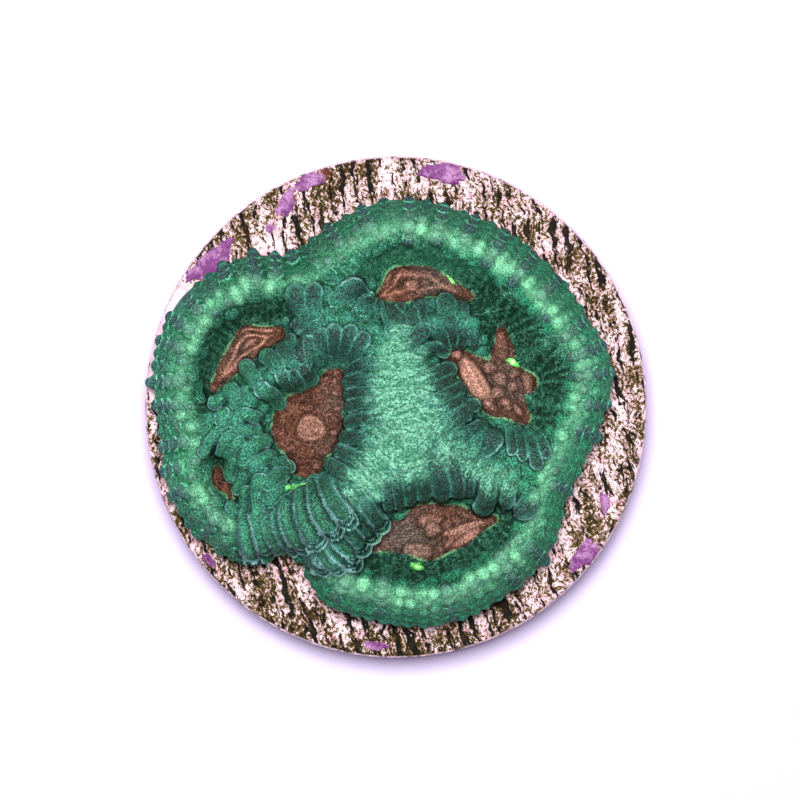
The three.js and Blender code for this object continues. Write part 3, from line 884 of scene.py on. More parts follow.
def floorHeights(flat, gap):
    # folds along each floor and the mounds on it: height, fold ridge, flush, greyness and a painted shadow
    # ring round the foot of each mound
    fold, edge, mound = mouthParts["folds"], mouthParts["outline"], mouthParts["mound"]
    wander = np.zeros(len(flat))
    for i in np.nonzero(gap < 0.2)[0]:
        wander[i] = noise.noise(Vector((*flat[i], 0)) * fold["wanderScale"]) * fold["wander"]
    names = list(colony["mouths"])
    nearest = np.stack([chainDistance(flat, colony["mouths"][name]) for name in names]).argmin(0)
    strength = np.array([mouthParts["folded"][name] for name in names])[nearest]
    grey = np.zeros(len(flat))
    for x, y, reach, deep in mouthParts["grey"]:
        grey = np.maximum(grey, deep * roundSpot(flat, (x, y), reach))
    phase = (gap + wander) / fold["pitch"] * 2 * math.pi
    ridge = (0.5 + 0.5 * np.cos(phase)) * smoothstep(-gap, 0.0, fold["edge"]) * strength
    height = fold["height"] * ridge
    flush, outline = np.zeros(len(flat)), np.zeros(len(flat))
    for x, y, halfLength, halfWidth, turnDegrees, rise, pink in mouthParts["mounds"]:
        u, v = localOval(flat, x, y, halfLength, halfWidth, turnDegrees)
        dome = np.clip(1 - u * u - v * v, 0, 1)
        crinkle = np.cos(v * 9 + 2 * u)
        ring = np.hypot(u, v) + edge["lobed"] * np.cos(3 * np.arctan2(v, u) + x)
        ring = (ring - edge["at"]) * min(halfLength, halfWidth) / edge["width"]
        outline = np.maximum(outline * (dome < edge["clear"]), np.exp(-ring ** 2))
        height = height * (1 - mound["flatten"] * np.sqrt(dome)) + rise * dome ** mound["power"]
        height = height + mound["crinkle"] * crinkle * np.sqrt(dome)
        flush = np.maximum(flush, pink * smoothstep(dome, 0.0, mound["flushEdge"]) * (0.8 + 0.2 * crinkle))
    x, y, wide = mouthParts["mouthDisc"]
    away = np.linalg.norm(flat - (x, y), axis=1) / wide
    rings = np.where(away < 1, np.cos(away * mouthParts["discRings"] * math.pi), 0)
    height = height + mouthParts["ringHeight"] * rings
    height = height - mouthParts["pit"] * np.exp(-(away / mouthParts["pitWidth"]) ** 2)
    return height, ridge, flush * (1 + mouthParts["ringFlush"] * rings), grey, outline


# Skin: a fine net over the colony, rolled under at the margin and closed below
def skinNet():
    rings = colony["rings"]
    total = sum(rings.values())
    ring, turn, faces = hexRings(total)
    rimShare = 1 - colony["rimWidth"] / colony["reach"]
    spread = np.interp(ring, [0, rings["inside"], rings["inside"] + rings["rim"]], [0, rimShare, 1.0])
    under = np.clip((ring - rings["inside"] - rings["rim"]) / rings["lip"], 0, 1)
    inset = colony["skinInset"] + (colony["lipUndercut"] - colony["skinInset"]) * under ** 2
    edge = outlineAt(turn, outlinePoints) - outlineAt(turn, outlineOut) * inset[:, None]
    flat = np.array(colony["middle"]) + spread[:, None] * (edge - np.array(colony["middle"]))
    height = readMap("height", flat) - colony["skinDrop"]
    height = np.maximum(height + floorHeights(flat, floorGap(flat))[0], 0)
    lipHeight = readMap("height", outlineAt(turn, outlinePoints)) - colony["skinDrop"]
    height = np.where(under > 0, lipHeight * (1 - under), height)
    points = np.column_stack([flat, topFace + height])
    last = len(points) - 6 * total
    middle = len(points)
    points = np.vstack([points, [*colony["middle"], topFace]])
    faces += [(last + (i + 1) % (6 * total), last + i, middle) for i in range(6 * total)]
    return points, faces


def skinMarks(points):
    # where the colours of the tissue lie, worked out from the relief
    style, flat = skinTints, points[:, :2]
    fromEdge, gap = readMap("fromEdge", flat), floorGap(flat)
    rough = np.array([noise.noise(Vector((x, y, 0)) * style["raggedScale"]) for x, y in flat])
    ragged = fromEdge + style["ragged"] * rough
    past = ragged - style["fromEdge"]
    crest = np.exp(-(past / np.where(past > 0, style["innerFade"], style["outerFade"])) ** 2)
    for notch in style["notches"]:
        crest = crest * (1 - style["notchFade"] * roundSpot(flat, notch, style["notchReach"]))
    for axis, side, limits, gain in style["gains"]:
        crest = crest * (1 + gain * smoothstep(side * flat[:, axis], *limits))
    wall = readMap("outer", flat) * smoothstep(ragged, *style["wall"])
    wall = wall * (1 - style["wallFade"] * smoothstep(flat[:, 1], *style["wallNorth"]))
    neon = np.zeros(len(flat))
    for spot in mouthParts["neon"]:
        u, v = localOval(flat, *spot)
        neon = np.maximum(neon, np.exp(-(u * u + v * v)))
    dull = 1 - style["greenShare"] * roundSpot(flat, style["greenLobes"], style["greenReach"])
    dull = dull * (1 - style["greenShare"] * smoothstep(-flat[:, 0], *style["greenWest"]))
    marks = {
        "crest": np.minimum(crest, 1), "plateau": smoothstep(-paleGap(flat), *style["plateau"]),
        "floorGap": gap, "fromEdge": fromEdge, "valley": wall, "neon": neon, "dull": dull,
        "lively": slopeLife(flat),
    }
    marks.update(zip(("ridge", "flush", "grey", "outline"), floorHeights(flat, gap)[1:]))
    marks.update(zip(("across", "rootward", "contact", "seam"), lobeAcross(flat)))
    marks.update(zip(("flow", "flowAway"), plateauFlow(flat)))
    return marks


skinPoints, skinFaces = skinNet()
tissueMarks = skinMarks(skinPoints)
colonyPiece = newObject("brainCoral", newMesh("brainCoral", skinPoints, skinFaces, tissueMarks))
beadCloud = newObject("beadCloud", newMesh("beadCloud", beadTable[:, :3], [], {
    "sizes": beadTable[:, 3:6] * mm, "kind": beadTable[:, 6],
    "along": beadTable[:, 7:10], "up": beadTable[:, 10:13]}))
print("skin net made,", len(skinFaces), "faces")


def beadSkinTree(material):
    tree, source, sink = newGeometryTree("beadSkin", {
        "Beads": ("NodeSocketObject", None), "Reach": ("NodeSocketFloat", 0.0014),
        "Soften": ("NodeSocketInt", 2), "Crease Reach": ("NodeSocketInt", 8)})
    cloudPoints = addNode(tree, "GeometryNodeObjectInfo", {"Object": out(source, "Beads")})
    ball = addNode(tree, "GeometryNodeMeshIcoSphere", {"Radius": 1.0, "Subdivisions": 3})
    upright = addNode(tree, "FunctionNodeAlignRotationToVector", {
        "Vector": named(tree, "up", "FLOAT_VECTOR")}, axis="Z")
    turnTo = addNode(tree, "FunctionNodeAlignRotationToVector", {
        "Rotation": out(upright), "Vector": named(tree, "along", "FLOAT_VECTOR")}, axis="X", pivot_axis="Z")
    spread = addNode(tree, "GeometryNodeInstanceOnPoints", {
        "Points": out(cloudPoints, "Geometry"), "Instance": out(ball, "Mesh"), "Rotation": out(turnTo),
        "Scale": named(tree, "sizes", "FLOAT_VECTOR")})
    lumps = out(addNode(tree, "GeometryNodeRealizeInstances", {"Geometry": out(spread)}))
    # the skin rises along its own softened normals to the beads above it
    normal = vectorCalc(tree, "NORMALIZE", blurred(tree, out(addNode(tree, "GeometryNodeInputNormal")), 12))
    place, reach = position(tree), out(source, "Reach")
    marked = store(tree, out(source, "Geometry"), "skinNormal", normal, "FLOAT_VECTOR")
    lift = named(tree, "skinNormal", "FLOAT_VECTOR")
    start = vectorCalc(tree, "ADD", place, scaled(tree, lift, reach))
    ray = addNode(tree, "GeometryNodeRaycast", {
        "Target Geometry": lumps, "Attribute": named(tree, "kind"), "Source Position": start,
        "Ray Direction": scaled(tree, lift, -1.0), "Ray Length": reach}, data_type="FLOAT")
    hit = out(ray, "Is Hit")
    facing = vectorCalc(tree, "DOT_PRODUCT", out(ray, "Hit Normal"), lift, "Value")
    swell = calc(tree, "SUBTRACT", reach, out(ray, "Hit Distance"))
    for name, value in (("facing", facing), ("kind", out(ray, "Attribute")), ("swell", swell)):
        marked = store(tree, marked, name, times(tree, value, hit))
    goal = addNode(tree, "GeometryNodeSwitch", {
        "Switch": hit, "False": place, "True": out(ray, "Hit Position")}, input_type="VECTOR")
    raised = addNode(tree, "GeometryNodeSetPosition", {"Geometry": marked, "Position": out(goal)})
    again = blurred(tree, position(tree), out(source, "Soften"))
    eased = addNode(tree, "GeometryNodeSetPosition", {"Geometry": out(raised), "Position": again})
    around = blurred(tree, position(tree), out(source, "Crease Reach"))
    sunk = vectorCalc(tree, "SUBTRACT", around, position(tree))
    crease = calc(tree, "DIVIDE", vectorCalc(tree, "DOT_PRODUCT", sunk, lift, "Value"), mm)
    finishTree(tree, store(tree, out(eased), "crease", crease), sink, material)
    return tree


def attributeValue(tree, name):
    return out(addNode(tree, "ShaderNodeAttribute", attribute_name=name), "Fac")


# Speckle: fine grain that every finish here shares
def speckleGroup():
    group = bpy.data.node_groups.new("speckle", "ShaderNodeTree")
    for key, value in (("Grain", 0.00025), ("Low", 0.35), ("High", 0.65)):
        group.interface.new_socket(key, in_out="INPUT", socket_type="NodeSocketFloat").default_value = value
    group.interface.new_socket("Mask", in_out="OUTPUT", socket_type="NodeSocketFloat")
    source, sink = group.nodes.new("NodeGroupInput"), group.nodes.new("NodeGroupOutput")
    grain = cloud(group, objectPlace(group), calc(group, "DIVIDE", 1.0, out(source, "Grain")), 2.0, 0.6)
    group.links.new(ramp(group, grain, out(source, "Low"), out(source, "High")), sink.inputs[0])
    return group


speckle = speckleGroup()


def addSpeckle(tree, grain, low=0.35, high=0.65):
    feeds = {"Grain": grain, "Low": low, "High": high}
    return out(addNode(tree, "ShaderNodeGroup", feeds, node_tree=speckle))


def newMaterial(name):
    material = bpy.data.materials.new(name)
    material.use_nodes = True
    tree = material.node_tree
    return material, tree, tree.nodes["Principled BSDF"]


def addBump(tree, shader, height, distance, strength):
    bump = addNode(tree, "ShaderNodeBump", {"Height": height, "Distance": distance, "Strength": strength})
    tree.links.new(out(bump), shader.inputs["Normal"])


# Tissue: colours and finish of the living skin
tissue = {
    "slope": srgb(38, 142, 96), "slopeGap": srgb(28, 122, 82), "slopeTop": srgb(30, 90, 74),
    "slopeRim": srgb(112, 196, 160), "margin": srgb(50, 92, 92), "valley": srgb(24, 66, 51),
    "fold": srgb(46, 104, 82), "lead": srgb(48, 82, 84), "line": srgb(132, 212, 172),
    "mint": srgb(140, 222, 170), "mintDeep": srgb(80, 152, 118), "mintLine": srgb(158, 238, 184),
    "plateau": srgb(130, 200, 166), "plateauDeep": srgb(64, 134, 106),
    "lobe": srgb(44, 94, 80), "lobeGreen": srgb(66, 152, 116), "lobeGrain": srgb(52, 36, 42),
    "lobeEdge": srgb(60, 128, 108), "lobeGap": srgb(44, 110, 84),
    "rim": srgb(160, 208, 212), "seam": srgb(112, 176, 162),
    "floor": srgb(132, 84, 64), "floorDeep": srgb(66, 40, 30), "floorPink": srgb(196, 144, 126),
    "floorGrey": srgb(88, 84, 77), "floorEdge": srgb(132, 210, 146),
    "neon": srgb(120, 250, 120), "neonCore": srgb(226, 255, 176),
    "lineSize": 1.3, "lineTurns": 5.0, "ringStep": 0.14 * mm, "growthStep": 0.5,
    "grain": (0.00017, 0.46, 0.56), "fine": (0.00016, 0.36, 0.64), "stipple": (0.32, 1.62),
    "roughness": 0.5, "specular": 0.12, "bump": (0.00008, 0.7),
    "scales": {"broad": 420, "wobble": 900, "patchy": 700, "worn": 260, "wander": 500, "glow": 1600},
}


def tissueMaterial():
    material, tree, shader = newMaterial("coralTissue")
    place = objectPlace(tree)
    mark = {name: attributeValue(tree, name) for name in (*tissueMarks, "facing", "kind", "swell", "crease")}
    facing, kind, across, rootward = (mark[name] for name in ("facing", "kind", "across", "rootward"))
    fromEdge, gap, crest, plateau = (mark[name] for name in ("fromEdge", "floorGap", "crest", "plateau"))

    def patches(name, detail=2):
        return cloud(tree, place, tissue["scales"][name], detail)

    def over(colour, *layers):
        # each layer is a mask and a colour, named in the dictionary or mixed here
        return paint(tree, colour, [(mask, tissue.get(tint, tint)) for mask, tint in layers])

    grain, fine = addSpeckle(tree, *tissue["grain"]), addSpeckle(tree, *tissue["fine"])
    swirl = cloud(tree, place, 1 / (tissue["lineSize"] * mm))
    lines = ramp(tree, calc(tree, "SINE", times(tree, swirl, tissue["lineTurns"] * 2 * math.pi)), 0.3, 0.95)
    broad = ramp(tree, patches("broad", 3), 0.35, 0.65)
    wobble = times(tree, patches("wobble"), 5.0)
    rings = waveLines(tree, mark["swell"], tissue["ringStep"], wobble, 0.2)
    growth = waveLines(tree, fromEdge, tissue["growthStep"], wobble, 0.4)
    growth = times(tree, growth, ramp(tree, fromEdge, 4.0, 3.2))
    patchy = ramp(tree, patches("patchy"), 0.35, 0.6, 0.65, 1.0)
    isBead, isLead = ramp(tree, kind, 0.25, 0.4), ramp(tree, kind, 0.75, 0.9)
    isFold = band(tree, kind, (0.05, 0.15), (0.32, 0.25))
    onLobe = ramp(tree, across, 1.06, 0.94)
    # bare skin between the beads
    colour = over(
        tissue["slopeGap"],
        (ramp(tree, fromEdge, 2.6, 4.6), "lobeGap"),
        (mark["valley"], "valley"),
        # painted highlight: the tops of the folds on the inner wall lighter than the skin around them
        (times(tree, isFold, ramp(tree, facing, 0.6, 0.97, 0.0, 0.7)), "fold"),
        (times(tree, lines, 0.2), "line"),
        (times(tree, growth, 0.16), "line"))
    # beads of the slope: dull dark tops, pale edges
    lively = calc(tree, "MAXIMUM", isLead, ramp(tree, mark["lively"], 0.0, 1.0, 0.45, 0.9))
    dark = over(tissue["slopeTop"], (isLead, "lead"), (times(tree, grain, 0.5), "lobeGrain"))
    ring = times(tree, band(tree, facing, (0.6, 0.5), (0.24, 0.34)), lively, ramp(tree, fromEdge, 0.1, 0.8))
    top = over(
        tissue["slope"],
        (times(tree, ramp(tree, facing, 0.52, 0.66), lively), dark),
        (ramp(tree, fromEdge, 4.2, 5.6, 0.0, 0.7), "lobeEdge"),
        (times(tree, ring, patchy), "slopeRim"),
        (times(tree, rings, 0.12), "slopeRim"))
    colour = over(
        colour,
        (times(tree, isBead, ramp(tree, facing, 0.15, 0.32)), top),
        (ramp(tree, fromEdge, 0.8, 0.2, 0.0, 0.7), "margin"))
    # pale crest, its bead tops painted lighter than the gaps between them as a painted highlight, and
    # streaked plateau
    wander = timesPlus(tree, patches("wander"), 1.2, mark["flow"])
    ray = addNode(tree, "ShaderNodeCombineXYZ", {
        0: times(tree, wander, 3.2), 1: times(tree, mark["flowAway"], 0.8)})
    streak = timesPlus(tree, lines, 0.12, cloud(tree, out(ray), 1.0, 4, 0.7))
    streak = ramp(tree, streak, 0.42, 0.64)
    # painted highlight: crest beads lighter where they face up, darker mint in the gaps, mixed with broad
    # patches of tone
    mintHighlightAndPatches = times(tree, isBead, ramp(tree, facing, 0.45, 0.9))
    mintHighlightAndPatches = timesPlus(tree, mintHighlightAndPatches, 0.6, times(tree, broad, 0.4))
    onCrest = times(tree, calc(tree, "MAXIMUM", rings, lines), 0.3)
    mint = over(tissue["mintDeep"], (mintHighlightAndPatches, "mint"), (onCrest, "mintLine"))
    keep = timesPlus(tree, times(tree, isLead, ramp(tree, facing, 0.4, 0.75)), -0.5, 0.95)
    worn = ramp(tree, patches("worn", 3), 0.36, 0.56, 0.85, 1.0)
    colour = over(
        colour,
        (times(tree, crest, keep, worn), mint),
        (plateau, over(tissue["plateauDeep"], (streak, "plateau"))))
    # lobes: dark grained middles that fade toward edge and root, and thin pale rims
    held = ramp(tree, timesPlus(tree, streak, 0.35, rootward), 0.6, 1.3, 1.0, 0.1)
    grained = times(tree, grain, ramp(tree, mark["dull"], 0, 1, 0.55, 0.85))
    body = over(tissue["lobeGreen"], (mark["dull"], "lobe"), (grained, "lobeGrain"))
    middle = ramp(tree, timesPlus(tree, broad, 0.15, across), 0.98, 0.5)
    seam = times(tree, ramp(tree, mark["seam"], 0.2, 0.9), ramp(tree, rootward, 0.2, 1.0, 0.75, 0.3))
    rim = band(tree, across, (0.8, 0.92), (1.05, 0.99))
    rim = times(tree, rim, ramp(tree, rootward, 0.04, 0.65, 0.78, 0.18))
    colour = over(
        colour,
        (times(tree, onLobe, held), "lobeEdge"),
        (times(tree, middle, held), body),
        (times(tree, seam, patchy), "seam"),
        (times(tree, rim, patchy), "rim"))
    # mouth floors and the bright spots
    bare = times(tree, ramp(tree, gap, 0.3, 0.05), calc(tree, "SUBTRACT", 1.0, onLobe))
    fold = timesPlus(tree, mark["ridge"], 0.8, times(tree, broad, 0.35))
    flesh = over(
        tissue["floorDeep"],
        (fold, "floor"),
        (mark["grey"], "floorGrey"),
        (times(tree, lines, 0.22), "floorPink"),
        (ramp(tree, mark["ridge"], 0.5, 1.0, 0.0, 0.5), "floorPink"),
        (mark["flush"], "floorPink"),
        # painted shadow round the foot of each mound
        (times(tree, mark["outline"], 0.75), "floorDeep"))
    line = band(tree, gap, (-0.02, 0.12), (0.4, 0.2))
    line = times(tree, line, ramp(tree, patches("wander"), 0.46, 0.62, 0.0, 0.6))
    glow = timesPlus(tree, calc(tree, "SUBTRACT", patches("glow"), 0.5), 1.4, mark["neon"])
    glow = times(tree, glow, ramp(tree, mark["neon"], 0.05, 0.3))
    colour = over(
        colour,
        (bare, flesh),
        (line, "floorEdge"),
        (ramp(tree, glow, 0.3, 0.8, 0, 0.9), "neon"),
        (ramp(tree, glow, 0.7, 1.1), "neonCore"))
    # fine stipple, calmer on the pale parts, with a painted shadow beside higher lobes, then painted light
    # and shade on walls and slopes from south to north, and painted shade in creases with a painted
    # highlight on ridges
    shade = ramp(tree, fine, 0, 1, *tissue["stipple"], smooth=False)
    # painted shadow beside the edges of higher lobes
    shade = times(tree, shade, ramp(tree, mark["contact"], 0.0, 0.9, 1.0, 0.22))
    calmed = calc(tree, "MAXIMUM", times(tree, plateau, 0.25), times(tree, crest, 0.35))
    shade = blendNumber(tree, calc(tree, "MAXIMUM", calmed, times(tree, rim, 0.6)), shade, 1.0)
    north = axisOf(tree, place, "Y")

    def northward(low, high, start, end):
        return ramp(tree, north, low * mm, high * mm, start, end)

    # painted light and shade by compass side, evening out the key light from the north: the south wall
    # darker and the north wall lighter, the slopes darker toward the north and the far south
    walls = times(tree, northward(-16, -13, 0.75, 1.0), northward(12, 14, 1.0, 1.2))
    walls = blendNumber(tree, ramp(tree, fromEdge, 3.6, 4.2), 1.0, walls)
    slopes = times(tree, northward(-14, -8, 0.9, 1.14), northward(3, 15, 1.0, 0.64))
    shade = times(tree, shade, blendNumber(tree, ramp(tree, fromEdge, 2.4, 3.2), slopes, walls))
    shade = blendNumber(tree, ramp(tree, glow, 0.4, 0.9, 0, 0.8), shade, 1.25)
    # painted shade in creases and a painted highlight on ridges, from the skin's crease measure
    shade = times(tree, shade, ramp(tree, mark["crease"], 0.02, 0.2, 1.0, 0.5))
    shade = times(tree, shade, ramp(tree, mark["crease"], -0.12, 0.0, 1.35, 1.0))
    tone = addNode(tree, "ShaderNodeCombineColor", {0: shade, 1: shade, 2: shade})
    tree.links.new(blendColour(tree, 1.0, colour, out(tone), "MULTIPLY"), shader.inputs["Base Color"])
    shader.inputs["Roughness"].default_value = tissue["roughness"]
    shader.inputs["Specular IOR Level"].default_value = tissue["specular"]
    addBump(tree, shader, calc(tree, "ADD", fine, grain), *tissue["bump"])
    return material


bakeTree(colonyPiece, beadSkinTree(tissueMaterial()), {
    "Beads": beadCloud, "Reach": 2.0 * mm, "Soften": 1, "Crease Reach": 8})
bpy.data.objects.remove(beadCloud)
print("bead skin baked,", len(colonyPiece.data.polygons), "faces")

# Ceramic disc
disc = {
    "shoulder": 0.6, "foot": 0.4, "furrowCentre": (184.0, 49.0), "pitch": 1.25,
    "around": 960, "topRings": 72, "innerRadius": 13.0, "sideRings": 18,
    "pale": srgb(252, 220, 230), "rose": srgb(226, 172, 190), "olive": srgb(112, 88, 24),
    "brown": srgb(44, 34, 14), "dark": srgb(18, 14, 10), "film": srgb(206, 178, 218),
    "cover": [  # x, y, reach and how many more or fewer furrows
        (-23, 7, 6, -0.14), (-12.5, 16.4, 2.6, -0.04), (-12, 22, 7, 0.02),
        (2, -25, 9, 0.035), (-14, -22, 8, 0.03), (19, 12, 8, 0.018),
    ],
    "furrowRadius": 190.0, "furrowWobble": 1.4,
    "crackCut": (0.61, 0.64), "stainCut": (0.69, 0.74), "pitCut": (0.76, 0.81),
    "lumps": (1400, 3, 0.6),
    "noises": {  # scale, detail and roughness
        "rosy": (700, 4), "deep": (900,), "stainEdge": (1500, 3), "film": (260, 3), "dirt": (1100, 5, 0.7),
    },
    "topEdge": (0.18, 0.3), "grain": 0.0002, "roughness": 0.85, "specular": 0.25, "bump": (0.00005, 0.4),
    "stain": (-7.0, 23.2, 1.0), "stainColour": srgb(120, 62, 46),
}


def furrowPattern(tree, place):
    # torn furrows of the disc's top face, from a place in metres: cracks, olive stains and dark pits, 0 to 1
    flat = vectorCalc(tree, "MULTIPLY", scaled(tree, place, 1 / mm), (1, 1, 0))
    away = vectorCalc(tree, "SUBTRACT", flat, (*disc["furrowCentre"], 0))
    turn = calc(tree, "ARCTAN2", axisOf(tree, away, "Y"), axisOf(tree, away, "X"))
    along = times(tree, turn, disc["furrowRadius"])
    wobble = calc(tree, "SUBTRACT", cloud(tree, flat, 0.5), 0.5)
    across = timesPlus(tree, wobble, disc["furrowWobble"], lengthOf(tree, away))
    comb = calc(tree, "COSINE", times(tree, across, 2 * math.pi / disc["pitch"]))

    def streaks(acrossScale, alongScale, detail=2, roughness=0.6):
        spot = addNode(tree, "ShaderNodeCombineXYZ", {
            0: times(tree, across, acrossScale), 1: times(tree, along, alongScale)})
        return cloud(tree, out(spot), 1.0, detail, roughness)

    crack = timesPlus(tree, streaks(3.0, 1.0), 0.4, times(tree, comb, 0.06))
    crack = timesPlus(tree, streaks(1.6, 0.22), 0.7, crack)
    speck = timesPlus(tree, streaks(0.5, 0.22), 0.45, streaks(3.4, 2.2, 4, 0.8))
    for x, y, reach, amount in disc["cover"]:
        near = lengthOf(tree, vectorCalc(tree, "SUBTRACT", flat, (x, y, 0)))
        more = ramp(tree, near, 0.4 * reach, 1.4 * reach, amount, 0.0)
        crack, speck = calc(tree, "ADD", crack, more), calc(tree, "ADD", speck, more)
    cuts = ((crack, "crackCut"), (speck, "stainCut"), (speck, "pitCut"))
    return [ramp(tree, value, *disc[cut]) for value, cut in cuts]


def discNet():
    # profile from the hidden middle of the top face over the shoulder and side to the underside
    shoulder, foot, r, n = disc["shoulder"], disc["foot"], rimRadius, disc["around"]
    bend, shoulderTop = r - shoulder, topFace - shoulder
    rings = [(radius, topFace) for radius in np.linspace(disc["innerRadius"], bend, disc["topRings"])]
    for a in np.linspace(0.3, math.pi / 2, 5):
        rings.append((bend + shoulder * math.sin(a), shoulderTop + shoulder * math.cos(a)))
    rings += [(r, z) for z in np.linspace(shoulderTop, foot, disc["sideRings"])[1:]]
    rings += [(r - foot, 0.0)]
    turn = np.linspace(0, 2 * math.pi, n, endpoint=False)
    circle = np.column_stack([np.cos(turn), np.sin(turn)])
    points = np.concatenate([np.column_stack([radius * circle, np.full(n, z)]) for radius, z in rings])
    faces = []
    for k in range(len(rings) - 1):
        for i in range(n):
            j = (i + 1) % n
            faces.append((k * n + i, (k + 1) * n + i, (k + 1) * n + j, k * n + j))
    faces.append(tuple(range(n)))
    faces.append(tuple(reversed(range((len(rings) - 1) * n, len(rings) * n))))
    return points, faces


def discTree(material):
    tree, source, sink = newGeometryTree("tornCeramic", {
        "Furrow Depth": ("NodeSocketFloat", 0.0005), "Pit Depth": ("NodeSocketFloat", 0.0002),
        "Roughness": ("NodeSocketFloat", 0.0002), "Top": ("NodeSocketFloat", 0.006)})
    place = position(tree)
    furrow, _, pit = furrowPattern(tree, place)
    lump = cloud(tree, place, *disc["lumps"])
    height = axisOf(tree, place, "Z")
    onTop = ramp(tree, calc(tree, "DIVIDE", height, out(source, "Top")), 0.86, 0.985)
    above = ramp(tree, height, 0.0002, 0.001)
    pitted = times(tree, pit, out(source, "Pit Depth"))
    sunk = calc(tree, "ADD", times(tree, furrow, out(source, "Furrow Depth")), pitted)
    sunk = calc(tree, "ADD", times(tree, sunk, onTop), times(tree, lump, out(source, "Roughness"), above))
    inward = scaled(tree, out(addNode(tree, "GeometryNodeInputNormal")), times(tree, sunk, -1.0))
    moved = addNode(tree, "GeometryNodeSetPosition", {"Geometry": out(source, "Geometry"), "Offset": inward})
    finishTree(tree, out(moved), sink, material)
    return tree


def ceramicMaterial():
    material, tree, shader = newMaterial("tornCeramic")
    place = objectPlace(tree)
    noises = {name: cloud(tree, place, *how) for name, how in disc["noises"].items()}
    furrow, stain, pit = furrowPattern(tree, place)
    fromAxis = lengthOf(tree, vectorCalc(tree, "MULTIPLY", place, (1, 1, 0)))
    onTop = ramp(tree, fromAxis, *((rimRadius - inset) * mm for inset in disc["topEdge"]))
    rosy = ramp(tree, noises["rosy"], 0.45, 0.75)
    deep = blendColour(tree, ramp(tree, noises["deep"], 0.45, 0.65), disc["dark"], disc["brown"])
    stainX, stainY, stainReach = disc["stain"]
    near = lengthOf(tree, vectorCalc(tree, "SUBTRACT", place, (stainX * mm, stainY * mm, topFace * mm)))
    ragged = timesPlus(tree, noises["stainEdge"], -1.0 * mm, near)
    colour = paint(tree, disc["pale"], [
        (rosy, disc["rose"]), (stain, disc["olive"]), (pit, disc["brown"]), (furrow, deep),
        (ramp(tree, ragged, 0.4 * stainReach * mm, 0.0, 0.0, 0.8), disc["stainColour"])])
    byHeight = ramp(tree, axisOf(tree, place, "Z"), 0.0, topFace * mm, -0.06, 0.06)
    dirt = calc(tree, "ADD", noises["dirt"], byHeight)
    side = paint(tree, disc["pale"], [
        (ramp(tree, noises["film"], 0.4, 0.65, 0.0, 0.6), disc["film"]), (rosy, disc["rose"]),
        (ramp(tree, dirt, 0.57, 0.63, 0.0, 0.85), disc["olive"]),
        (ramp(tree, dirt, 0.65, 0.7), disc["brown"])])
    tree.links.new(blendColour(tree, onTop, side, colour), shader.inputs["Base Color"])
    shader.inputs["Roughness"].default_value = disc["roughness"]
    shader.inputs["Specular IOR Level"].default_value = disc["specular"]
    addBump(tree, shader, addSpeckle(tree, disc["grain"]), *disc["bump"])
    return material


discPoints, discFaces = discNet()
discPiece = newObject("ceramicDisc", newMesh("ceramicDisc", discPoints, discFaces))
bakeTree(discPiece, discTree(ceramicMaterial()), {
    "Furrow Depth": 0.45 * mm, "Pit Depth": 0.2 * mm, "Roughness": 0.2 * mm, "Top": topFace * mm})
print("ceramic disc baked,", len(discPiece.data.polygons), "faces")

# Coralline crusts: nine thin patches that lie on the disc
crusts = {
    "thickness": 0.45, "edgeFall": 0.6, "rings": 22,
    "patches": {  # middle, half-sizes, turn in degrees and tone
        "west": ((-18.3, 14.4), (2.9, 1.1), 42, 0.15), "northwest": ((-10.9, 20.2), (1.5, 0.8), 68, 0.5),
        "speck": ((-12.5, 17.7), (0.5, 0.4), 20, 0.6), "northwest_rim": ((-8.6, 22.4), (1.6, 0.8), 22, 0.5),
        "north": ((4.7, 23.2), (2.3, 1.0), -8, 0.3), "southeast": ((18.7, -14.7), (1.9, 1.0), 48, 0.35),
        "east": ((20.7, -9.5), (1.1, 0.5), 100, 0.9), "south_rim": ((-2.0, -23.7), (1.3, 0.45), -4, 0.4),
        "southwest": ((-18.6, -15.2), (0.9, 0.4), -52, 0.3),
    },
    "rimInset": 0.25, "bury": 0.1, "grain": 0.0002, "spots": (0.00022, 0.5, 0.62), "contrast": 3.4,
    "roughness": 0.7, "bump": (0.00005, 0.5), "deep": srgb(122, 54, 124), "light": srgb(190, 136, 188),
    "rose": srgb(222, 166, 206), "spot": srgb(106, 38, 84),
}


def crustNet(index, centre, half, turnDegrees):
    ring, turn, faces = hexRings(crusts["rings"])
    angle = turn * 2 * math.pi
    share = ring / crusts["rings"]
    lobed = 1 + 0.13 * np.sin(3 * angle + index) + 0.08 * np.sin(5 * angle + 2 * index)
    ragged = 1 + 0.05 * np.sin(11 * angle + 3 * index) + 0.04 * np.sin(17 * angle + index)
    reach = share * lobed * (1 + (ragged - 1) * share)
    x, y = half[0] * reach * np.cos(angle), half[1] * reach * np.sin(angle)
    cosine, sine = math.cos(math.radians(turnDegrees)), math.sin(math.radians(turnDegrees))
    flat = np.column_stack([centre[0] + x * cosine - y * sine, centre[1] + x * sine + y * cosine])
    away = np.linalg.norm(flat, axis=1)
    flat *= np.minimum(1, (rimRadius - crusts["rimInset"]) / away)[:, None]
    return flat, share, faces


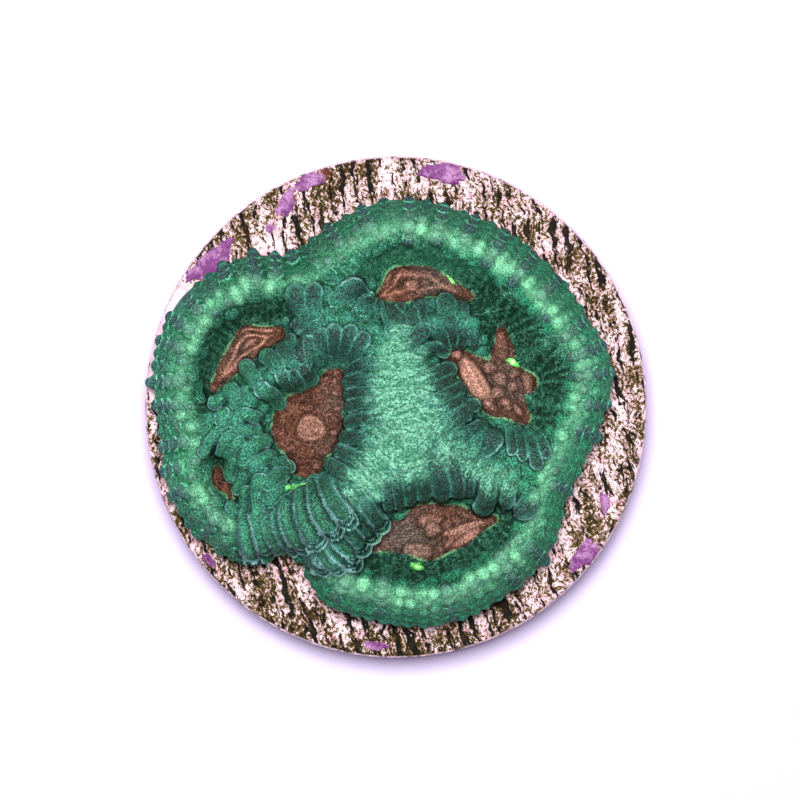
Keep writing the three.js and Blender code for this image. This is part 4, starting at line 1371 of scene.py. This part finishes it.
def crustTree(material):
    tree, source, sink = newGeometryTree("crustPatch", {
        "Disc": ("NodeSocketObject", None), "Thickness": ("NodeSocketFloat", 0.0004),
        "Bury": ("NodeSocketFloat", 0.0003)})
    ground = addNode(tree, "GeometryNodeObjectInfo", {"Object": out(source, "Disc")})
    place = position(tree)
    ray = addNode(tree, "GeometryNodeRaycast", {
        "Target Geometry": out(ground, "Geometry"), "Ray Direction": (0, 0, -1), "Ray Length": 0.02,
        "Source Position": vectorCalc(tree, "ADD", place, (0, 0, 0.01))}, data_type="FLOAT")
    level = blurred(tree, axisOf(tree, out(ray, "Hit Position"), "Z"), 30, "FLOAT")
    knobs = ramp(tree, cloud(tree, place, 1500), 0.3, 0.7, 0.6, 1.0)
    lift = times(tree, out(source, "Thickness"), knobs, named(tree, "body"))
    lift = calc(tree, "SUBTRACT", lift, times(tree, out(source, "Bury"), named(tree, "under")))
    goal = addNode(tree, "ShaderNodeCombineXYZ", {
        0: axisOf(tree, place, "X"), 1: axisOf(tree, place, "Y"), 2: calc(tree, "ADD", level, lift)})
    moved = addNode(tree, "GeometryNodeSetPosition", {
        "Geometry": out(source, "Geometry"), "Position": out(goal)})
    finishTree(tree, out(moved), sink, material)
    return tree


def crustMaterial():
    material, tree, shader = newMaterial("corallineCrust")
    place = objectPlace(tree)
    grain = calc(tree, "ADD", cloud(tree, place, 2400, 4, 0.65), cloud(tree, place, 700))
    grain = timesPlus(tree, grain, crusts["contrast"], -crusts["contrast"])
    mix = calc(tree, "ADD", attributeValue(tree, "tone"), grain, clamp=True)
    colour = paint(tree, crusts["deep"], [
        (mix, crusts["light"]),
        (ramp(tree, attributeValue(tree, "body"), 0.5, 0.0, 0.0, 0.6), crusts["rose"]),
        (times(tree, addSpeckle(tree, *crusts["spots"]), 0.5), crusts["spot"])])
    tree.links.new(colour, shader.inputs["Base Color"])
    shader.inputs["Roughness"].default_value = crusts["roughness"]
    addBump(tree, shader, addSpeckle(tree, crusts["grain"]), *crusts["bump"])
    return material


def makeCrusts():
    tree = crustTree(crustMaterial())
    made = []
    for index, (name, (centre, half, turnDegrees, tone)) in enumerate(crusts["patches"].items()):
        flat, share, faces = crustNet(index, centre, half, turnDegrees)
        inset = (1 - share) * min(half)
        body = np.sqrt(np.clip(1 - (1 - np.clip(inset / crusts["edgeFall"], 0, 1)) ** 2, 0, 1))
        count = len(flat)
        points = np.column_stack([np.vstack([flat, flat]), np.full(2 * count, topFace)])
        outerRing = list(range(count - 6 * crusts["rings"], count))
        faces = faces + [tuple(count + v for v in reversed(face)) for face in faces]
        ringEnds = zip(outerRing, outerRing[1:] + outerRing[:1])
        faces += [(count + a, count + b, b, a) for a, b in ringEnds]
        under = np.repeat([0.0, 1.0], count)
        marks = {"body": np.concatenate([body, 0 * body]), "under": under, "tone": np.full(2 * count, tone)}
        patch = newObject("crust_" + name, newMesh("crust_" + name, points, faces, marks))
        bakeTree(patch, tree, {
            "Disc": discPiece, "Thickness": crusts["thickness"] * mm, "Bury": crusts["bury"] * mm})
        made.append((patch, "coralline_crust_" + name))
    return made


crustPieces = makeCrusts()
print("crusts made,", len(crustPieces))

# Floor, lights and camera
studio = {
    "floorSize": 3.0, "floor": (0.74, 0.675, 0.88, 1.0), "floorRoughness": 0.9,
    "world": (0.88, 0.84, 1.0, 1.0), "worldStrength": 0.16,
    "keyFrom": (-0.02, 0.1, 0.53), "keySize": 0.2, "keyPower": 4.0,
    "topFrom": (0.0, 0.0, 0.9), "topSize": 0.8, "topPower": 1.0,
    "cameraAway": 0.6, "sensor": 36.0, "discPixel": (396, 407),
}


def makeFloor():
    side = studio["floorSize"] / 2
    mesh = bpy.data.meshes.new("floor")
    corners = [(-side, -side, 0), (side, -side, 0), (side, side, 0), (-side, side, 0)]
    mesh.from_pydata(corners, [], [(0, 1, 2, 3)])
    floor = newObject("floor", mesh)
    material, _, shader = newMaterial("paleFloor")
    shader.inputs["Base Color"].default_value = studio["floor"]
    shader.inputs["Roughness"].default_value = studio["floorRoughness"]
    floor.data.materials.append(material)


def makeLight(name, place, size, power, aim):
    data = bpy.data.lights.new(name, "AREA")
    data.size = size
    data.energy = power
    lamp = newObject(name, data)
    lamp.location = place
    lamp.rotation_euler = (Vector(aim) - Vector(place)).to_track_quat("-Z", "Y").to_euler()


def makeCamera():
    data = bpy.data.cameras.new("camera")
    data.sensor_width = studio["sensor"]
    data.lens = studio["sensor"] * studio["cameraAway"] / (picturePixels * pixelSize * mm)
    data.clip_start = 0.01
    camera = newObject("camera", data)
    shiftX = (picturePixels / 2 - studio["discPixel"][0]) * pixelSize * mm
    shiftY = (studio["discPixel"][1] - picturePixels / 2) * pixelSize * mm
    camera.location = (shiftX, shiftY, topFace * mm + studio["cameraAway"])
    bpy.context.scene.camera = camera


makeFloor()
makeLight("keyLight", studio["keyFrom"], studio["keySize"], studio["keyPower"], (0, 0, 0.01))
makeLight("topLight", studio["topFrom"], studio["topSize"], studio["topPower"], (0, 0, 0))
makeCamera()
world = bpy.data.worlds.new("studio")
world.use_nodes = True
background = world.node_tree.nodes["Background"]
background.inputs["Color"].default_value = studio["world"]
background.inputs["Strength"].default_value = studio["worldStrength"]
bpy.context.scene.world = world
bpy.context.scene.view_settings.view_transform = "Standard"
print("floor, lights and camera set")

# Which piece stands for which node
pieces = [(colonyPiece, "coral_colony", "coral_flesh"), (discPiece, "ceramic_disc", "ceramic")]
pieces += [(patch, node, "coralline") for patch, node in crustPieces]
for piece, node, slot in pieces:
    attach(piece, "root")
    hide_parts(node)
